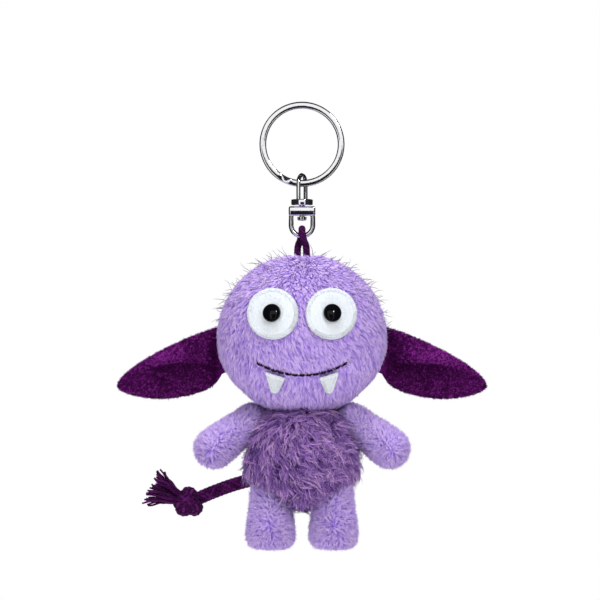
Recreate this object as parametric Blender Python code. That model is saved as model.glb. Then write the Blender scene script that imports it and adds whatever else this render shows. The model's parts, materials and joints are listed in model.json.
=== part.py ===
"""A small stuffed creature that hangs on a key ring.

Metres, +Z up, the creature faces -Y. The origin is the inner top of the key ring, where a hook bears.
Every piece is built in place, then handed to the empty that stands on its joint.
"""

import math

import bmesh
import bpy
from mathutils import Matrix, Vector

# Clearances
FIT = 0.0003
SWIVEL_PLAY = 0.0003

# Key ring, two turns of flat wire
RING_BORE = 0.025
RING_WIRE_WIDTH = 0.0024
RING_TURN_THICKNESS = 0.0009
RING_TURN_GAP = 0.0004
RING_SPLIT_ANGLE = math.radians(-115)
RING_STEP_ARC = math.radians(22)
RING_END_ARC = math.radians(4)
RING_EDGE = 0.0003

# Swivel, a bow that turns in a yoke
BOW_WIRE = 0.0015
BOW_LEG = 0.0055
BOW_TURN = math.radians(25)
COLLAR_HEIGHT = 0.0022
COLLAR_RIM = 0.0002
COLLAR_EDGE = 0.0004
STEM_DIAMETER = 0.002
RIVET_HEAD_DIAMETER = 0.0034
RIVET_HEAD_HEIGHT = 0.0014
YOKE_WIDTH = 0.0094
YOKE_DEPTH = 0.0046
YOKE_BLOCK_HEIGHT = 0.0034
YOKE_BLOCK_EDGE = 0.0007
YOKE_WIRE = 0.0018
YOKE_DROP = 0.0032

# Hang loop, a doubled cord knotted inside the head
LOOP_CORD = 0.0026
LOOP_DROP = 0.0061
LOOP_SPREAD = 0.0032
LOOP_TAIL = 0.0035
LOOP_KNOT_DIAMETER = 0.0068
LOOP_KNOT_HEIGHT = 0.0056

# Head
HEAD_WIDTH = 0.060
HEAD_DEPTH = 0.050
HEAD_CROWN = 0.030
HEAD_CHIN = 0.0245
HEAD_PILE = 0.003
CROWN_POWER = 2.0
CHIN_POWER = 2.1

# Ears, two layers of velour whose upper edge folds forwards over a hollow leaf
EAR_LENGTH = 0.0354
EAR_ROOT_WIDTH = 0.0158
EAR_BELLY = 0.0043
EAR_TAPER = 1.5
EAR_THICKNESS = 0.0024
EAR_FOLD = 0.0038
EAR_FOLD_REACH = 0.66
EAR_FOLD_LOW = -0.35
EAR_FOLD_HIGH = 0.62
EAR_HOLLOW = 0.0012
EAR_DROOP = math.radians(19)
EAR_SAG = math.radians(3)
EAR_DROP = 0.0043

# Face
EYE_FELT_DIAMETER = 0.0165
EYE_SPAN = 0.0195
EYE_RISE = 0.0087
FELT_THICKNESS = 0.0012
BEAD_DIAMETER = 0.0064
BEAD_HEIGHT = 0.0027
SHANK_DIAMETER = 0.0016
SHANK_END = 0.0008
WASHER_DIAMETER = 0.0065
WASHER_THICKNESS = 0.001
MOUTH_WIDTH = 0.032
MOUTH_DROP = 0.0125
MOUTH_CURVE = 0.0045
THREAD = 0.001
FANG_WIDTH = 0.0056
FANG_LENGTH = 0.0052
FANG_SPAN = 0.018

# Body
BODY_WIDTH = 0.042
BODY_DEPTH = 0.034
BODY_RISE = 0.0215
BODY_SEAT = 0.0190
BODY_POWER = 2.3
BODY_PILE = 0.0035
NECK_DROP = 0.0173
NECK_WIDTH = 0.025

# Arms
SHOULDER_SPAN = 0.0350
ARM_ANGLE = math.radians(37)
ARM_LENGTH = 0.0165
ARM_ROOT_RADIUS = 0.0064
HAND_RADIUS = 0.0076
ARM_LIFT = math.radians(35)

# Legs
HIP_SPAN = 0.0220
HIP_DROP = 0.0120
HIP_FORWARD = 0.0020
LEG_ROOT_RADIUS = 0.0076
LEG_RADIUS = 0.0091
LEG_LENGTH = 0.0197
FOOT_CORNER = 0.0045
LEG_FORWARD = math.radians(35)
LEG_BACK = math.radians(12)

LIMB_PILE = 0.0026
LIMB_OPENING = 0.005

# Tail, a braided cord with a knot and a frayed end
TAIL_CORD = 0.005
TAIL_DROP = 0.0075
TAIL_SEAT = 0.001
TAIL_KNOT_DIAMETER = 0.0098
TAIL_KNOT_WRAP = 0.0040
TAIL_KNOT_SEAT = 0.0012
FRINGE_LENGTH = 0.0145
FRINGE_LIFT = math.radians(20)
FRINGE_WIDTH = 0.0125
FRINGE_DEPTH = 0.0070
FRINGE_NECK = 0.0042
FRINGE_NOTCH = 0.0045
FRINGE_POINTS = 9

# How finely round shapes are cut
RING_STEPS = 34
TUBE_SIDES = 10
HEAD_CUT = (28, 16)
BODY_CUT = (24, 13)
INNER_CUT = (18, 11)
LIMB_SIDES = 14
LIMB_INNER_SIDES = 10
SOCKET_STEPS = 3

# Levels and places that follow from the sizes above
ring_centre = Vector((0, 0, -RING_BORE / 2))
ring_radius = RING_BORE / 2 + RING_WIRE_WIDTH / 2
wire_level = -RING_BORE - RING_WIRE_WIDTH / 2
wire_reach = math.hypot(RING_WIRE_WIDTH / 2, RING_TURN_THICKNESS + RING_TURN_GAP / 2)
bow_radius = (wire_reach + FIT + BOW_WIRE / 2) / math.cos(BOW_TURN)
collar_top = wire_level - BOW_LEG
collar_bottom = collar_top - COLLAR_HEIGHT
collar_radius = bow_radius + BOW_WIRE / 2 + COLLAR_RIM
block_top = collar_bottom - SWIVEL_PLAY
block_bottom = block_top - YOKE_BLOCK_HEIGHT
yoke_arc_radius = (YOKE_WIDTH - YOKE_WIRE) / 2
yoke_arc_level = block_bottom - YOKE_DROP
bar_level = yoke_arc_level - yoke_arc_radius
head_top = bar_level - LOOP_DROP
head_level = head_top - HEAD_CROWN
chin_level = head_level - HEAD_CHIN
body_level = chin_level - NECK_DROP


# Scene and objects

def clear_scene():
    for old in list(bpy.data.objects):
        bpy.data.objects.remove(old)


def material(name, colour, roughness, metallic=0.0):
    made = bpy.data.materials.new(name)
    made.use_nodes = True
    shader = made.node_tree.nodes["Principled BSDF"]
    shader.inputs["Base Color"].default_value = (*colour, 1)
    shader.inputs["Roughness"].default_value = roughness
    shader.inputs["Metallic"].default_value = metallic
    made.diffuse_color = (*colour, 1)
    return made


def pivot(name, place, parent=None):
    """An empty on a joint, under the joint that carries it."""
    empty = bpy.data.objects.new(name, None)
    empty.empty_display_size = 0.004
    bpy.context.scene.collection.objects.link(empty)
    empty.parent = parent
    empty.location = Vector(place) - (parent.matrix_world.translation if parent else Vector())
    bpy.context.view_layer.update()
    return empty


def thing(name, mesh):
    made = bpy.data.objects.new(name, mesh)
    bpy.context.scene.collection.objects.link(made)
    return made


def hand_over(obj, joint, finish, crease=35):
    """Gives a finished piece its joint's empty as parent and its material."""
    bpy.context.view_layer.update()
    place = joint.matrix_world.translation
    obj.data.transform(Matrix.Translation(-place))
    obj.parent = joint
    obj.data.materials.clear()
    obj.data.materials.append(finish)
    if obj.type == "MESH":
        obj.data.shade_smooth()
        obj.data.set_sharp_from_angle(angle=math.radians(crease))
    return obj


# Meshes

def mesh_of(shape):
    bmesh.ops.recalc_face_normals(shape, faces=shape.faces)
    mesh = bpy.data.meshes.new("mesh")
    shape.to_mesh(mesh)
    shape.free()
    return mesh


def loft(rings):
    """A closed mesh through rings of points. A ring of one point is a pole, and other ends are capped."""
    shape = bmesh.new()
    rows = [[shape.verts.new(point) for point in ring] for ring in rings]
    for low, high in zip(rows, rows[1:]):
        count = max(len(low), len(high))
        for i in range(count):
            j = (i + 1) % count
            corners = [low[i % len(low)], low[j % len(low)], high[j % len(high)], high[i % len(high)]]
            shape.faces.new(list(dict.fromkeys(corners)))
    for row in (rows[0], rows[-1]):
        if len(row) > 2:
            shape.faces.new(row)
    return mesh_of(shape)


def lathe(profile, sides):
    """A closed mesh turned about +Z from (radius, height) pairs, with radius 0 at a pole."""
    turn = 2 * math.pi / sides
    return loft([
        [Vector((r * math.cos(k * turn), r * math.sin(k * turn), z)) for k in range(sides if r else 1)]
        for r, z in profile
    ])


def egg_share(height, power):
    """The width of a superellipse at a height from 0 to 1, as a share of its widest."""
    return max(1 - abs(height) ** power, 0) ** (1 / power)


def egg(half_width, half_depth, rise, drop, level, powers, facets, shrink=0.0):
    """An egg about the Z axis, widest at a level, with its own powers above and below, shrunk all round."""
    sides, levels = facets
    rings = []
    for k in range(levels + 1):
        angle = math.pi * k / levels - math.pi / 2
        up = angle > 0
        reach = (rise if up else drop) - shrink
        height = math.sin(angle)
        share = egg_share(height, powers[0] if up else powers[1]) if 0 < k < levels else 0
        z = level + height * reach
        wide, deep = (half_width - shrink) * share, (half_depth - shrink) * share
        turns = [2 * math.pi * (i + 0.5) / sides for i in range(sides)] if share else [0]
        rings.append([Vector((wide * math.cos(t), deep * math.sin(t), z)) for t in turns])
    return loft(rings)


def smooth_path(points, per_span):
    """Points along a Catmull-Rom curve through the given ones."""
    ends = [2 * points[0] - points[1], *points, 2 * points[-1] - points[-2]]
    made = []
    for a, b, c, d in zip(ends, ends[1:], ends[2:], ends[3:]):
        for k in range(per_span):
            t = k / per_span
            made.append(0.5 * (2 * b + (c - a) * t + (2 * a - 5 * b + 4 * c - d) * t**2
                               + (3 * b - a - 3 * c + d) * t**3))
    return [*made, points[-1]]


def tube(points, radius, sides):
    """A closed round tube along points."""
    rings = []
    side = None
    for k, point in enumerate(points):
        way = (points[min(k + 1, len(points) - 1)] - points[max(k - 1, 0)]).normalized()
        if side is None:
            side = way.orthogonal()
        side = (side - way * side.dot(way)).normalized()
        other = way.cross(side)
        rings.append([
            point + radius * (side * math.cos(t) + other * math.sin(t))
            for t in (2 * math.pi * i / sides for i in range(sides))
        ])
    return loft(rings)


def cord(name, points, diameter):
    """A round cord as a curve with a bevel."""
    data = bpy.data.curves.new(name, "CURVE")
    data.dimensions = "3D"
    data.bevel_depth = diameter / 2
    data.bevel_resolution = 2
    data.use_fill_caps = True
    spline = data.splines.new("POLY")
    spline.points.add(len(points) - 1)
    for place, point in zip(spline.points, points):
        place.co = (*point, 1)
    return thing(name, data)


def box(width, depth, top, bottom, edge):
    shape = bmesh.new()
    bmesh.ops.create_cube(shape, size=1)
    for vert in shape.verts:
        vert.co = Vector((vert.co.x * width, vert.co.y * depth, bottom + (vert.co.z + 0.5) * (top - bottom)))
    bmesh.ops.bevel(shape, geom=list(shape.edges), offset=edge, segments=2, affect="EDGES", profile=0.5)
    return mesh_of(shape)


def ball(centre, radius, sides=16, levels=10):
    mesh = egg(radius, radius, radius, radius, 0, (2, 2), (sides, levels))
    mesh.transform(Matrix.Translation(centre))
    return mesh


def boolean(obj, other_mesh, operation):
    """Joins a mesh to an object's solid, or cuts it away."""
    other = thing("other", other_mesh)
    step = obj.modifiers.new("step", "BOOLEAN")
    step.operation = operation
    step.object = other
    graph = bpy.context.evaluated_depsgraph_get()
    old = obj.data
    obj.data = bpy.data.meshes.new_from_object(obj.evaluated_get(graph))
    obj.modifiers.clear()
    bpy.data.meshes.remove(old)
    bpy.data.objects.remove(other)
    bpy.data.meshes.remove(other_mesh)
    return obj


def cut(obj, mesh):
    return boolean(obj, mesh, "DIFFERENCE")


def join(obj, mesh):
    return boolean(obj, mesh, "UNION")


def rod(radius, start, end, sides=12):
    return tube([start, end], radius, sides)


# Key ring and swivel

def split_ring():
    """Two turns of flat wire in one length, which steps from the front turn to the back one at the split."""
    lane = (RING_TURN_THICKNESS + RING_TURN_GAP) / 2
    first = RING_SPLIT_ANGLE + RING_STEP_ARC / 2 + RING_END_ARC
    last = RING_SPLIT_ANGLE + 4 * math.pi - RING_STEP_ARC / 2 - RING_END_ARC
    steps = 2 * RING_STEPS
    wide, thick, edge = RING_WIRE_WIDTH / 2, RING_TURN_THICKNESS / 2, RING_EDGE
    section = [(wide, thick - edge), (wide - edge, thick), (edge - wide, thick), (-wide, thick - edge),
               (-wide, edge - thick), (edge - wide, -thick), (wide - edge, -thick), (wide, edge - thick)]
    step_end = RING_SPLIT_ANGLE + 2 * math.pi + RING_STEP_ARC / 2
    rings = []
    for k in range(steps + 1):
        angle = first + (last - first) * k / steps
        share = min(max((angle - step_end) / RING_STEP_ARC + 1, 0), 1)
        middle = lane * (2 * share * share * (3 - 2 * share) - 1)
        out = Vector((math.cos(angle), 0, math.sin(angle)))
        rings.append([ring_centre + out * (ring_radius + r) + Vector((0, middle + y, 0)) for r, y in section])
    return thing("split_ring", loft(rings))


def swivel_eye():
    """The bow round the key ring, its collar, and the stem whose end is peened over under the yoke."""
    sunk = COLLAR_HEIGHT / 2
    foot = collar_top - sunk
    flat = [Vector((0, -bow_radius, foot))]
    for k in range(11):
        turn = math.pi * k / 10
        flat.append(Vector((0, -bow_radius * math.cos(turn), wire_level + bow_radius * math.sin(turn))))
    flat.append(Vector((0, bow_radius, foot)))
    turned = Matrix.Rotation(-BOW_TURN, 3, "Z")
    bow = tube([turned @ point for point in flat], BOW_WIRE / 2, TUBE_SIDES)
    stem = STEM_DIAMETER / 2
    head_upper = block_bottom - FIT
    head_lower = head_upper - RIVET_HEAD_HEIGHT
    head = RIVET_HEAD_DIAMETER / 2
    profile = [
        (0, collar_top), (collar_radius - COLLAR_EDGE, collar_top), (collar_radius, collar_top - COLLAR_EDGE),
        (collar_radius, collar_bottom + COLLAR_EDGE), (collar_radius - COLLAR_EDGE, collar_bottom),
        (stem, collar_bottom), (stem, head_upper), (head, head_upper),
        (head, head_lower + RIVET_HEAD_HEIGHT / 2), (head - RIVET_HEAD_HEIGHT / 2, head_lower),
        (0, head_lower),
    ]
    return join(thing("swivel_eye", lathe(profile, 20)), bow)


def swivel_yoke():
    """A bored block with a round wire bail under it."""
    reach = yoke_arc_radius
    sunk = block_bottom + YOKE_BLOCK_HEIGHT / 2
    path = [Vector((-reach, 0, sunk))]
    for k in range(11):
        turn = math.pi * k / 10
        path.append(Vector((-reach * math.cos(turn), 0, yoke_arc_level - reach * math.sin(turn))))
    path.append(Vector((reach, 0, sunk)))
    yoke = thing("swivel_yoke", box(YOKE_WIDTH, YOKE_DEPTH, block_top, block_bottom, YOKE_BLOCK_EDGE))
    join(yoke, tube(path, YOKE_WIRE / 2, TUBE_SIDES))
    through = YOKE_BLOCK_HEIGHT
    bore = rod(STEM_DIAMETER / 2 + FIT, Vector((0, 0, block_top + through)),
               Vector((0, 0, block_bottom - FIT - RIVET_HEAD_HEIGHT)), 16)
    return cut(yoke, bore)


# Hang loop

def loop_path():
    """One strand from inside the head, round the yoke's bar and back into the head beside itself."""
    round_bar = YOKE_WIRE / 2 + FIT + LOOP_CORD / 2
    out = LOOP_SPREAD / 2
    enter = head_top - HEAD_PILE - LOOP_TAIL
    near = Vector((-out, LOOP_CORD * 0.2, enter))
    strand = [near, Vector((-out, LOOP_CORD * 0.25, head_top - HEAD_PILE / 2)),
              Vector((-out * 0.9, round_bar * 0.5, bar_level - LOOP_DROP * 0.62)),
              Vector((-out * 0.4, round_bar * 0.95, bar_level - LOOP_DROP * 0.25))]
    over = []
    for k in range(1, 8):
        turn = math.pi * k / 8
        over.append(Vector((0, round_bar * math.cos(turn), bar_level + round_bar * math.sin(turn))))
    back = [Vector((-point.x, -point.y, point.z)) for point in reversed(strand)]
    return smooth_path([*strand, *over, *back], 2)


def loop_knot():
    """The knot that keeps the loop's two ends inside the head."""
    top = head_top - HEAD_PILE - LOOP_TAIL - FIT
    wide, tall = LOOP_KNOT_DIAMETER / 2, LOOP_KNOT_HEIGHT / 2
    knot = thing("loop_knot", egg(wide, wide, tall, tall, top - tall, (2.6, 2.6), (14, 8)))
    return knot, top


# Head and face

def head_half(z, half, shrink=0.0):
    """Half the head's width or depth at a height."""
    reach = (HEAD_CROWN if z > head_level else HEAD_CHIN) - shrink
    power = CROWN_POWER if z > head_level else CHIN_POWER
    return (half - shrink) * egg_share(min(abs(z - head_level) / reach, 1), power)


def face_point(x, z):
    """A point on the front of the head."""
    wide, deep = head_half(z, HEAD_WIDTH / 2), head_half(z, HEAD_DEPTH / 2)
    return Vector((x, -deep * math.sqrt(max(1 - (x / wide) ** 2, 0)), z))


def face_normal(x, z):
    step = EYE_FELT_DIAMETER / 50
    across = face_point(x + step, z) - face_point(x - step, z)
    up = face_point(x, z + step) - face_point(x, z - step)
    return across.cross(up).normalized()


def head_egg(facets, shrink=0.0):
    return egg(HEAD_WIDTH / 2, HEAD_DEPTH / 2, HEAD_CROWN, HEAD_CHIN, head_level,
               (CROWN_POWER, CHIN_POWER), facets, shrink)


def eye_frame(sign):
    """A matrix at an eye's middle on the head, its Z axis pointing out of the face."""
    x, z = sign * EYE_SPAN / 2, head_level + EYE_RISE
    out = face_normal(x, z)
    return Matrix.Translation(face_point(x, z)) @ out.to_track_quat("Z", "Y").to_matrix().to_4x4()


def placed(mesh, matrix):
    mesh.transform(matrix)
    return mesh


def face_patch(outline, thickness):
    """A felt piece that lies on the face, from an outline of (x, z) points about its middle."""
    middle = Vector((sum(x for x, _ in outline), sum(z for _, z in outline))) / len(outline)
    levels = []
    for share in (0.0, 0.5, 1.0):
        spots = outline if share else outline[:1]
        row = []
        for x, z in spots:
            flat = middle.lerp(Vector((x, z)), share)
            row.append((face_point(*flat), face_normal(*flat)))
        levels.append(row)
    under = [[point + out * FIT for point, out in row] for row in levels]
    over = [[point + out * (FIT + thickness) for point, out in row] for row in levels]
    return loft([*under, *reversed(over)])


def washer_face():
    """Depth of an eye's washer, clear of the flat facets and the hollow curve of the skin in front of it."""
    facet = HEAD_WIDTH / 2 * (1 - math.cos(math.pi / INNER_CUT[0]))
    hollow = WASHER_DIAMETER**2 / (4 * HEAD_DEPTH)
    return HEAD_PILE + facet + hollow + FIT


def eye_pieces(sign, side):
    """Felt disc, domed bead on its shank, and the washer that locks the shank inside the head."""
    middle_x, middle_z = sign * EYE_SPAN / 2, head_level + EYE_RISE
    radius = EYE_FELT_DIAMETER / 2
    outline = [(middle_x + radius * math.cos(t), middle_z + radius * math.sin(t))
               for t in (2 * math.pi * k / 20 for k in range(20))]
    frame = eye_frame(sign)
    shank = SHANK_DIAMETER / 2
    hole = Vector((0, 0, EYE_FELT_DIAMETER))
    felt = thing(f"eye_felt_{side}", face_patch(outline, FELT_THICKNESS))
    cut(felt, placed(rod(shank + FIT, -hole, hole), frame))

    seat = FELT_THICKNESS + 2 * FIT
    face = -washer_face()
    back = face - WASHER_THICKNESS
    tail = back - SHANK_END
    dome = [(BEAD_DIAMETER / 2 * math.cos(t), seat + BEAD_HEIGHT * (0.25 + 0.75 * math.sin(t)))
            for t in (math.pi / 2 * k / 5 for k in range(5))]
    profile = [(0, tail), (shank, tail), (shank, seat), (BEAD_DIAMETER / 2, seat),
               *dome, (0, seat + BEAD_HEIGHT)]
    bead = thing(f"eye_bead_{side}", placed(lathe(profile, 16), frame))

    outer = WASHER_DIAMETER / 2
    disc = lathe([(0, back), (outer, back), (outer, face), (0, face)], 16)
    washer = thing(f"eye_washer_{side}", placed(disc, frame))
    cut(washer, placed(rod(shank + FIT, -hole, hole), frame))
    return felt, bead, washer


def eye_hole(sign):
    reach = Vector((0, 0, HEAD_DEPTH / 4))
    return placed(rod(SHANK_DIAMETER / 2 + FIT, -reach, reach), eye_frame(sign))


def eye_pocket(sign):
    """Room in the stuffing for a washer and the end of its shank."""
    bottom = Vector((0, 0, -(washer_face() + WASHER_THICKNESS + SHANK_END + FIT)))
    radius = (WASHER_DIAMETER / 2 + FIT) / math.cos(math.pi / 14)
    return placed(rod(radius, bottom, Vector((0, 0, HEAD_PILE)), 14), eye_frame(sign))


def mouth_line(x):
    """Height of the mouth at a distance from the middle of the face."""
    return head_level - MOUTH_DROP + MOUTH_CURVE * (2 * x / MOUTH_WIDTH) ** 2


def mouth_thread():
    count = 18
    points = []
    for k in range(count + 1):
        x = MOUTH_WIDTH * (k / count - 0.5)
        z = mouth_line(x)
        points.append(face_point(x, z) + face_normal(x, z) * (FIT + THREAD / 2))
    return thing("mouth_thread", tube(points, THREAD / 2, 6))


def fang(sign, side):
    """A pointed felt tooth with a rounded tip under the mouth."""
    middle = sign * FANG_SPAN / 2
    half = FANG_WIDTH / 2
    gap = THREAD / 2 + 2 * FIT
    outline = []
    for k in range(5):
        x = middle - half + FANG_WIDTH * k / 4
        outline.append((x, mouth_line(x) - gap))
    top = mouth_line(middle) - gap
    tip = half * 0.5
    for k in range(5):
        turn = math.radians(-15 - 37.5 * k)
        outline.append((middle + tip * math.cos(turn), top - FANG_LENGTH + tip + tip * math.sin(turn)))
    return thing(f"fang_{side}", face_patch(outline, FELT_THICKNESS))


def head_pieces(knot_top):
    """The plush skin, open where the loop and the eye shanks go in, and the stuffing."""
    skin = cut(thing("head_skin", head_egg(HEAD_CUT)), head_egg(INNER_CUT, HEAD_PILE))
    filling = thing("head_filling", head_egg(INNER_CUT, HEAD_PILE + FIT))
    lower = knot_top - FIT
    slot_half = LOOP_SPREAD / 2
    slot = LOOP_CORD / 2 + FIT + LOOP_CORD * 0.25
    outline = []
    for k in range(16):
        turn = 2 * math.pi * (k + 0.5) / 16
        aside = math.copysign(slot_half, math.cos(turn))
        outline.append((slot * math.cos(turn) + aside, slot * math.sin(turn)))

    def slot_mesh(bottom):
        return loft([[Vector((x, y, z)) for x, y in outline] for z in (bottom, head_top + HEAD_PILE)])

    cut(skin, slot_mesh(lower))
    cut(filling, slot_mesh(lower))
    wide, tall = LOOP_KNOT_DIAMETER / 2 + FIT, LOOP_KNOT_HEIGHT / 2 + FIT
    cut(filling, egg(wide, wide, tall, tall, knot_top - LOOP_KNOT_HEIGHT / 2, (2.6, 2.6), (14, 8)))
    for sign in (-1, 1):
        cut(skin, eye_hole(sign))
        cut(filling, eye_pocket(sign))
    return skin, filling


# Ears

def ear_hinge(sign):
    """The middle of an ear's seam, just outside the side of the head."""
    z = head_level - EAR_DROP
    return Vector((sign * (head_half(z, HEAD_WIDTH / 2) + FIT + EAR_THICKNESS / 2), 0, z))


def ear_edge(u, v):
    """How far across the ear a place lies, at a share of its length and of its upper or lower half."""
    taper = EAR_ROOT_WIDTH / 2 * math.sqrt(max(1 - u**EAR_TAPER, 0))
    belly = EAR_BELLY * math.sin(math.pi * u) if v < 0 else 0
    return (taper + belly) * v


def ear_crease(u):
    """How far across the ear its fold ends: below the middle by the head, then ever nearer the upper edge."""
    return EAR_FOLD_LOW + (EAR_FOLD_HIGH - EAR_FOLD_LOW) * min(u / EAR_FOLD_REACH, 1)


def ear_fold(u, w):
    """How far the ear comes forwards, at a share of the way from the fold's end to either edge."""
    grown = EAR_FOLD * math.sin(math.pi * min(u / EAR_FOLD_REACH, 1)) ** 0.75
    if w >= 0:
        return grown * (1 - w)
    hollow = EAR_HOLLOW * math.sin(math.pi / 2 * min(u / 0.3, 1)) * egg_share(u, 1.4)
    return grown * (1 + w) ** 8 - hollow * math.sin(-math.pi * w)


def ear(sign, side):
    """A leaf of velour, sewn upright to the head, that droops. Its fold runs out before the tip."""
    stations = [0, 0, 0.06, 0.16, 0.28, 0.42, 0.56, 0.7, 0.82, 0.91, 0.965, 0.99]
    across = [-1, -0.72, -0.42, -0.16, 0, 0.34, 0.7, 1]
    round_end = math.radians(60)
    root = ear_hinge(sign)
    rings = []
    place = Vector((-EAR_THICKNESS / 2 * math.sin(round_end), 0, 0))
    before = 0.0
    for row, u in enumerate(stations):
        bend = EAR_DROOP + EAR_SAG * u
        if row == 1:
            place = Vector()
        place = place + Vector((math.cos(bend), 0, -math.sin(bend))) * EAR_LENGTH * (u - before)
        before = u
        lean = bend * min(u / 0.6, 1)
        up = Vector((math.sin(lean), 0, math.cos(lean)))
        thick = EAR_THICKNESS / 2 * (0.35 + 0.65 * egg_share(u, 6)) * (1 if row else math.cos(round_end))
        front, back = [], []
        for w in across:
            crease = ear_crease(u)
            v = crease + w * (1 - crease if w >= 0 else 1 + crease)
            point = place + up * ear_edge(u, v) + Vector((0, -ear_fold(u, w), 0))
            level = root.z + point.z
            drawn_in = head_half(level, HEAD_WIDTH / 2) - head_half(root.z, HEAD_WIDTH / 2)
            tuck = drawn_in * max(1 - u / 0.3, 0)
            point = root + Vector((sign * (point.x + tuck), point.y, point.z))
            pad = Vector((0, thick * egg_share(v, 4), 0))
            front.append(point - pad)
            back.append(point + pad)
        rings.append([*front, *reversed(back[1:-1])])
    return thing(f"ear_{side}", loft(rings))


# Body and limbs

def body_egg(facets, shrink=0.0):
    return egg(BODY_WIDTH / 2, BODY_DEPTH / 2, BODY_RISE, BODY_SEAT, body_level,
               (BODY_POWER, BODY_POWER), facets, shrink)


def neck_centre():
    """Middle of the ball that the chin sits in, which meets its lowest point and its sides over the neck."""
    half = NECK_WIDTH / 2
    rise = HEAD_CHIN * (1 - egg_share(NECK_WIDTH / HEAD_WIDTH, CHIN_POWER))
    return Vector((0, 0, chin_level + (half**2 + rise**2) / (2 * rise)))


def chin_reach():
    """How far the lower half of the head reaches from the middle that the body turns about."""
    centre = neck_centre()
    reach = 0.0
    for k in range(40):
        z = chin_level + HEAD_CHIN * k / 40
        for turn in range(10):
            spot = Vector((head_half(z, HEAD_WIDTH / 2) * math.cos(turn * math.pi / 18),
                           head_half(z, HEAD_DEPTH / 2) * math.sin(turn * math.pi / 18), z))
            reach = max(reach, (spot - centre).length)
    return reach


def neck_dish():
    """A ball that holds all of the chin however the head is turned on the body."""
    sides, levels = 32, 24
    facets = math.cos(math.pi / levels / 2) * math.cos(math.pi / sides)
    return ball(neck_centre(), chin_reach() / facets + FIT, sides, levels)


def limb(root_radius, tip_radius, length, corner, sides, grow=0.0):
    """A stuffed limb along +Z from a ball on its joint to a rounded end, grown all round or shrunk."""
    rows = []
    ball_radius = root_radius + grow
    for k in range(4):
        turn = math.pi / 2 * k / 4
        rows.append((ball_radius * math.sin(turn), -ball_radius * math.cos(turn)))
    end = tip_radius + grow
    straight = length - corner
    for k in range(4):
        share = k / 3
        swell = share * share * (3 - 2 * share)
        rows.append((ball_radius + (end - ball_radius) * swell, straight * share))
    flat = tip_radius - corner
    for k in range(1, 4):
        turn = math.pi / 2 * k / 4
        rows.append((flat + (corner + grow) * math.cos(turn), straight + (corner + grow) * math.sin(turn)))
    if flat > FIT:
        rows.append((flat, length + grow))
    return lathe([*rows, (0, length + grow)], sides)


def arm_mesh(grow=0.0, sides=LIMB_SIDES):
    return limb(ARM_ROOT_RADIUS, HAND_RADIUS, ARM_LENGTH + HAND_RADIUS, HAND_RADIUS, sides, grow)


def leg_mesh(grow=0.0, sides=LIMB_SIDES):
    return limb(LEG_ROOT_RADIUS, LEG_RADIUS, LEG_LENGTH, FOOT_CORNER, sides, grow)


def shoulder(sign):
    """The joint of an arm, as high as its root can be under the chin."""
    half = SHOULDER_SPAN / 2
    reach = chin_reach() + 2 * FIT + ARM_ROOT_RADIUS
    return Vector((sign * half, 0, neck_centre().z - math.sqrt(reach**2 - half**2)))


def hip(sign):
    return Vector((sign * HIP_SPAN / 2, -HIP_FORWARD, body_level - HIP_DROP))


def arm_matrix(sign, lift=0.0):
    """Stands an arm in its shoulder, its +Z pointing out and down, lifted by an angle."""
    turn = sign * (math.pi / 2 + ARM_ANGLE - lift)
    return Matrix.Translation(shoulder(sign)) @ Matrix.Rotation(turn, 4, "Y")


def leg_matrix(sign, swing=0.0):
    """Stands a leg in its hip, its +Z pointing down, swung forwards by an angle."""
    return Matrix.Translation(hip(sign)) @ Matrix.Rotation(math.pi - swing, 4, "X")


def stuffed_limb(name, side, mesh_at, matrix):
    """The skin of a limb, open at its joint, and the stuffing in it."""
    skin = thing(f"{name}_skin_{side}", placed(mesh_at(), matrix))
    cut(skin, placed(mesh_at(-LIMB_PILE, LIMB_INNER_SIDES), matrix))
    top = Vector((0, 0, -LEG_RADIUS - HAND_RADIUS))
    cut(skin, placed(rod(LIMB_OPENING / 2, top, Vector()), matrix))
    filling = thing(f"{name}_filling_{side}", placed(mesh_at(-LIMB_PILE - FIT, LIMB_INNER_SIDES), matrix))
    return skin, filling


def swept(mesh_at, matrices):
    """The room that a limb needs over its whole swing: the hull of its places, grown past its facets."""
    sides = LIMB_INNER_SIDES
    grow = 2 * FIT + LEG_RADIUS * (1 / math.cos(math.pi / sides) - 1)
    shape = bmesh.new()
    for matrix in matrices:
        mesh = placed(mesh_at(grow, sides), matrix)
        for vert in mesh.vertices:
            shape.verts.new(vert.co)
        bpy.data.meshes.remove(mesh)
    found = bmesh.ops.convex_hull(shape, input=shape.verts)
    spare = [*found["geom_interior"], *found["geom_unused"]]
    inside = {item for item in spare if isinstance(item, bmesh.types.BMVert)}
    bmesh.ops.delete(shape, geom=list(inside), context="VERTS")
    return mesh_of(shape)


def body_pieces():
    """The shaggy skin and the stuffing, hollowed for the chin, the limbs and the root of the tail."""
    skin = cut(thing("body_skin", body_egg(BODY_CUT)), body_egg(INNER_CUT, BODY_PILE))
    filling = thing("body_filling", body_egg(INNER_CUT, BODY_PILE + FIT))
    shares = [k / (SOCKET_STEPS - 1) for k in range(SOCKET_STEPS)]
    for piece in (skin, filling):
        cut(piece, neck_dish())
        for sign in (-1, 1):
            cut(piece, swept(arm_mesh, [arm_matrix(sign, share * ARM_LIFT) for share in shares]))
            cut(piece, swept(leg_mesh, [leg_matrix(sign, share * (LEG_FORWARD + LEG_BACK) - LEG_BACK)
                                        for share in shares]))
        cut(piece, ball(tail_root(), TAIL_CORD / 2 + FIT))
    return skin, filling


# Tail

def tail_root():
    z = body_level - TAIL_DROP
    deep = BODY_DEPTH / 2 * egg_share(TAIL_DROP / BODY_SEAT, BODY_POWER)
    return Vector((0, deep + TAIL_SEAT, z))


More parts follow.
